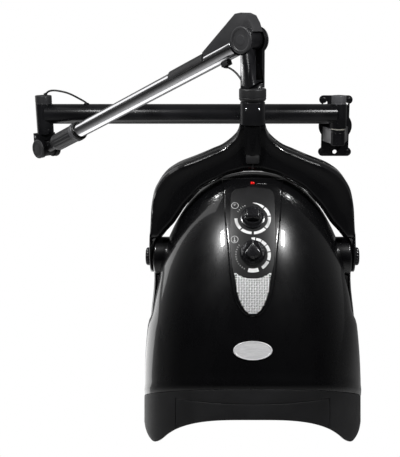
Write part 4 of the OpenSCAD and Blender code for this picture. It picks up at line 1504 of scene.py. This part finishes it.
class DRYER_OT_camera(bpy.types.Operator):
    """Sets the camera a little above the dryer, looking down at it squarely"""
    bl_idname = "dryer.camera"
    bl_label = "Camera"

    def execute(self, context):
        data = bpy.data.cameras.new("camera")
        data.lens = LENS
        data.sensor_width = 36
        data.shift_x = SHIFT_X
        obj = bpy.data.objects.new("camera", data)
        context.collection.objects.link(obj)
        obj.location = CAMERA_AT
        obj.rotation_euler = (math.pi / 2 - CAMERA_DIP, 0, 0)
        context.scene.camera = obj
        return {"FINISHED"}


def pale_paper():
    """Pale backdrop paper: even white to the eye, softly lit for what it lights in turn."""
    s = Shader("pale_paper")
    fibre = s.noise(260.0, 4.0, 0.6)
    s.set(Base_Color=s.blend(fibre, (0.8, 0.8, 0.8), (0.84, 0.84, 0.84)), Roughness=0.85)
    glow = s.node("ShaderNodeEmission", None, {"Color": (1, 1, 1, 1), "Strength": 1.0})
    seen = s.node("ShaderNodeLightPath", out="Is Camera Ray")
    mix = s.node("ShaderNodeMixShader", None, {0: seen, 1: Socket(s, s.surface.outputs[0]), 2: glow})
    s.tree.links.new(mix.link, s.tree.nodes["Material Output"].inputs["Surface"])
    return s.material


def studio_world(scene):
    """White studio behind and below, darker towards the viewer so that black gloss stays black."""
    world = bpy.data.worlds.new("studio")
    world.use_nodes = True
    scene.world = world
    tree = world.node_tree
    back = tree.nodes["Background"]
    seen = tree.nodes.new("ShaderNodeLightPath")
    place = tree.nodes.new("ShaderNodeTexCoord")
    split = tree.nodes.new("ShaderNodeSeparateXYZ")
    ramp = tree.nodes.new("ShaderNodeMapRange")
    ramp.interpolation_type = "SMOOTHSTEP"
    for socket, value in (("From Min", -0.3), ("From Max", 0.9), ("To Min", 0.004), ("To Max", 0.16)):
        ramp.inputs[socket].default_value = value
    pick = tree.nodes.new("ShaderNodeMix")
    pick.inputs[3].default_value = 1.0
    tree.links.new(place.outputs["Generated"], split.inputs[0])
    tree.links.new(split.outputs["Y"], ramp.inputs["Value"])
    tree.links.new(seen.outputs["Is Camera Ray"], pick.inputs[0])
    tree.links.new(ramp.outputs[0], pick.inputs[2])
    tree.links.new(pick.outputs[0], back.inputs["Strength"])
    back.inputs["Color"].default_value = (1, 1, 1, 1)


class DRYER_OT_stage(bpy.types.Operator):
    """Sets the pale floor, the white studio and its soft lights"""
    bl_idname = "dryer.stage"
    bl_label = "Stage"

    def execute(self, context):
        floor = mesh_object("floor", [(-6000, -6000, 0), (6000, -6000, 0), (6000, 6000, 0), (-6000, 6000, 0)],
                            [(0, 1, 2, 3)], Matrix.Translation((0, 0, FLOOR_Z)))
        floor.data.materials.append(pale_paper())
        studio_world(context.scene)
        for side in (-1, 1):
            dome_glint("console glint", side * 46, 276, 1.1, (0.06, 0.2), 10.0)
        rod_band("arm upper band", LIFT_ROD, 300, 46, 1.0, (1.6, 0.45), 2.5)
        rod_band("arm lower band", LIFT_ROD, 300, -40, 0.9, (1.6, 0.5), 2.7)
        context.scene.view_settings.view_transform = "Standard"
        return {"FINISHED"}


# ---------------------------------------------------------------- panel and registration

class DRYER_PT_sidebar(bpy.types.Panel):
    """Lists the dryer's pieces in the sidebar"""
    bl_label = "Hood Dryer"
    bl_idname = "DRYER_PT_sidebar"
    bl_space_type = "VIEW_3D"
    bl_region_type = "UI"
    bl_category = "Hood Dryer"

    def draw(self, context):
        column = self.layout.column()
        for group in (context.scene.dryer_sizes, context.scene.dryer_colours):
            for name in group.__annotations__:
                column.prop(group, name)
        for operator in OPERATORS:
            column.operator(operator.bl_idname)


OPERATORS = (DRYER_OT_camera, DRYER_OT_leads, DRYER_OT_bracket, DRYER_OT_swing_arm, DRYER_OT_elbow,
             DRYER_OT_lift_arm, DRYER_OT_head_post, DRYER_OT_yoke, DRYER_OT_hood, DRYER_OT_panel,
             DRYER_OT_dials, DRYER_OT_stage)
CLASSES = (DryerSizes, DryerColours) + OPERATORS + (DRYER_PT_sidebar,)


def register():
    for cls in CLASSES:
        bpy.utils.register_class(cls)
    bpy.types.Scene.dryer_sizes = PointerProperty(type=DryerSizes)
    bpy.types.Scene.dryer_colours = PointerProperty(type=DryerColours)


def unregister():
    del bpy.types.Scene.dryer_colours
    del bpy.types.Scene.dryer_sizes
    for cls in reversed(CLASSES):
        bpy.utils.unregister_class(cls)


def main():
    register()
    for operator in OPERATORS:
        group, name = operator.bl_idname.split(".")
        getattr(getattr(bpy.ops, group), name)()


if __name__ == "__main__":
    main()
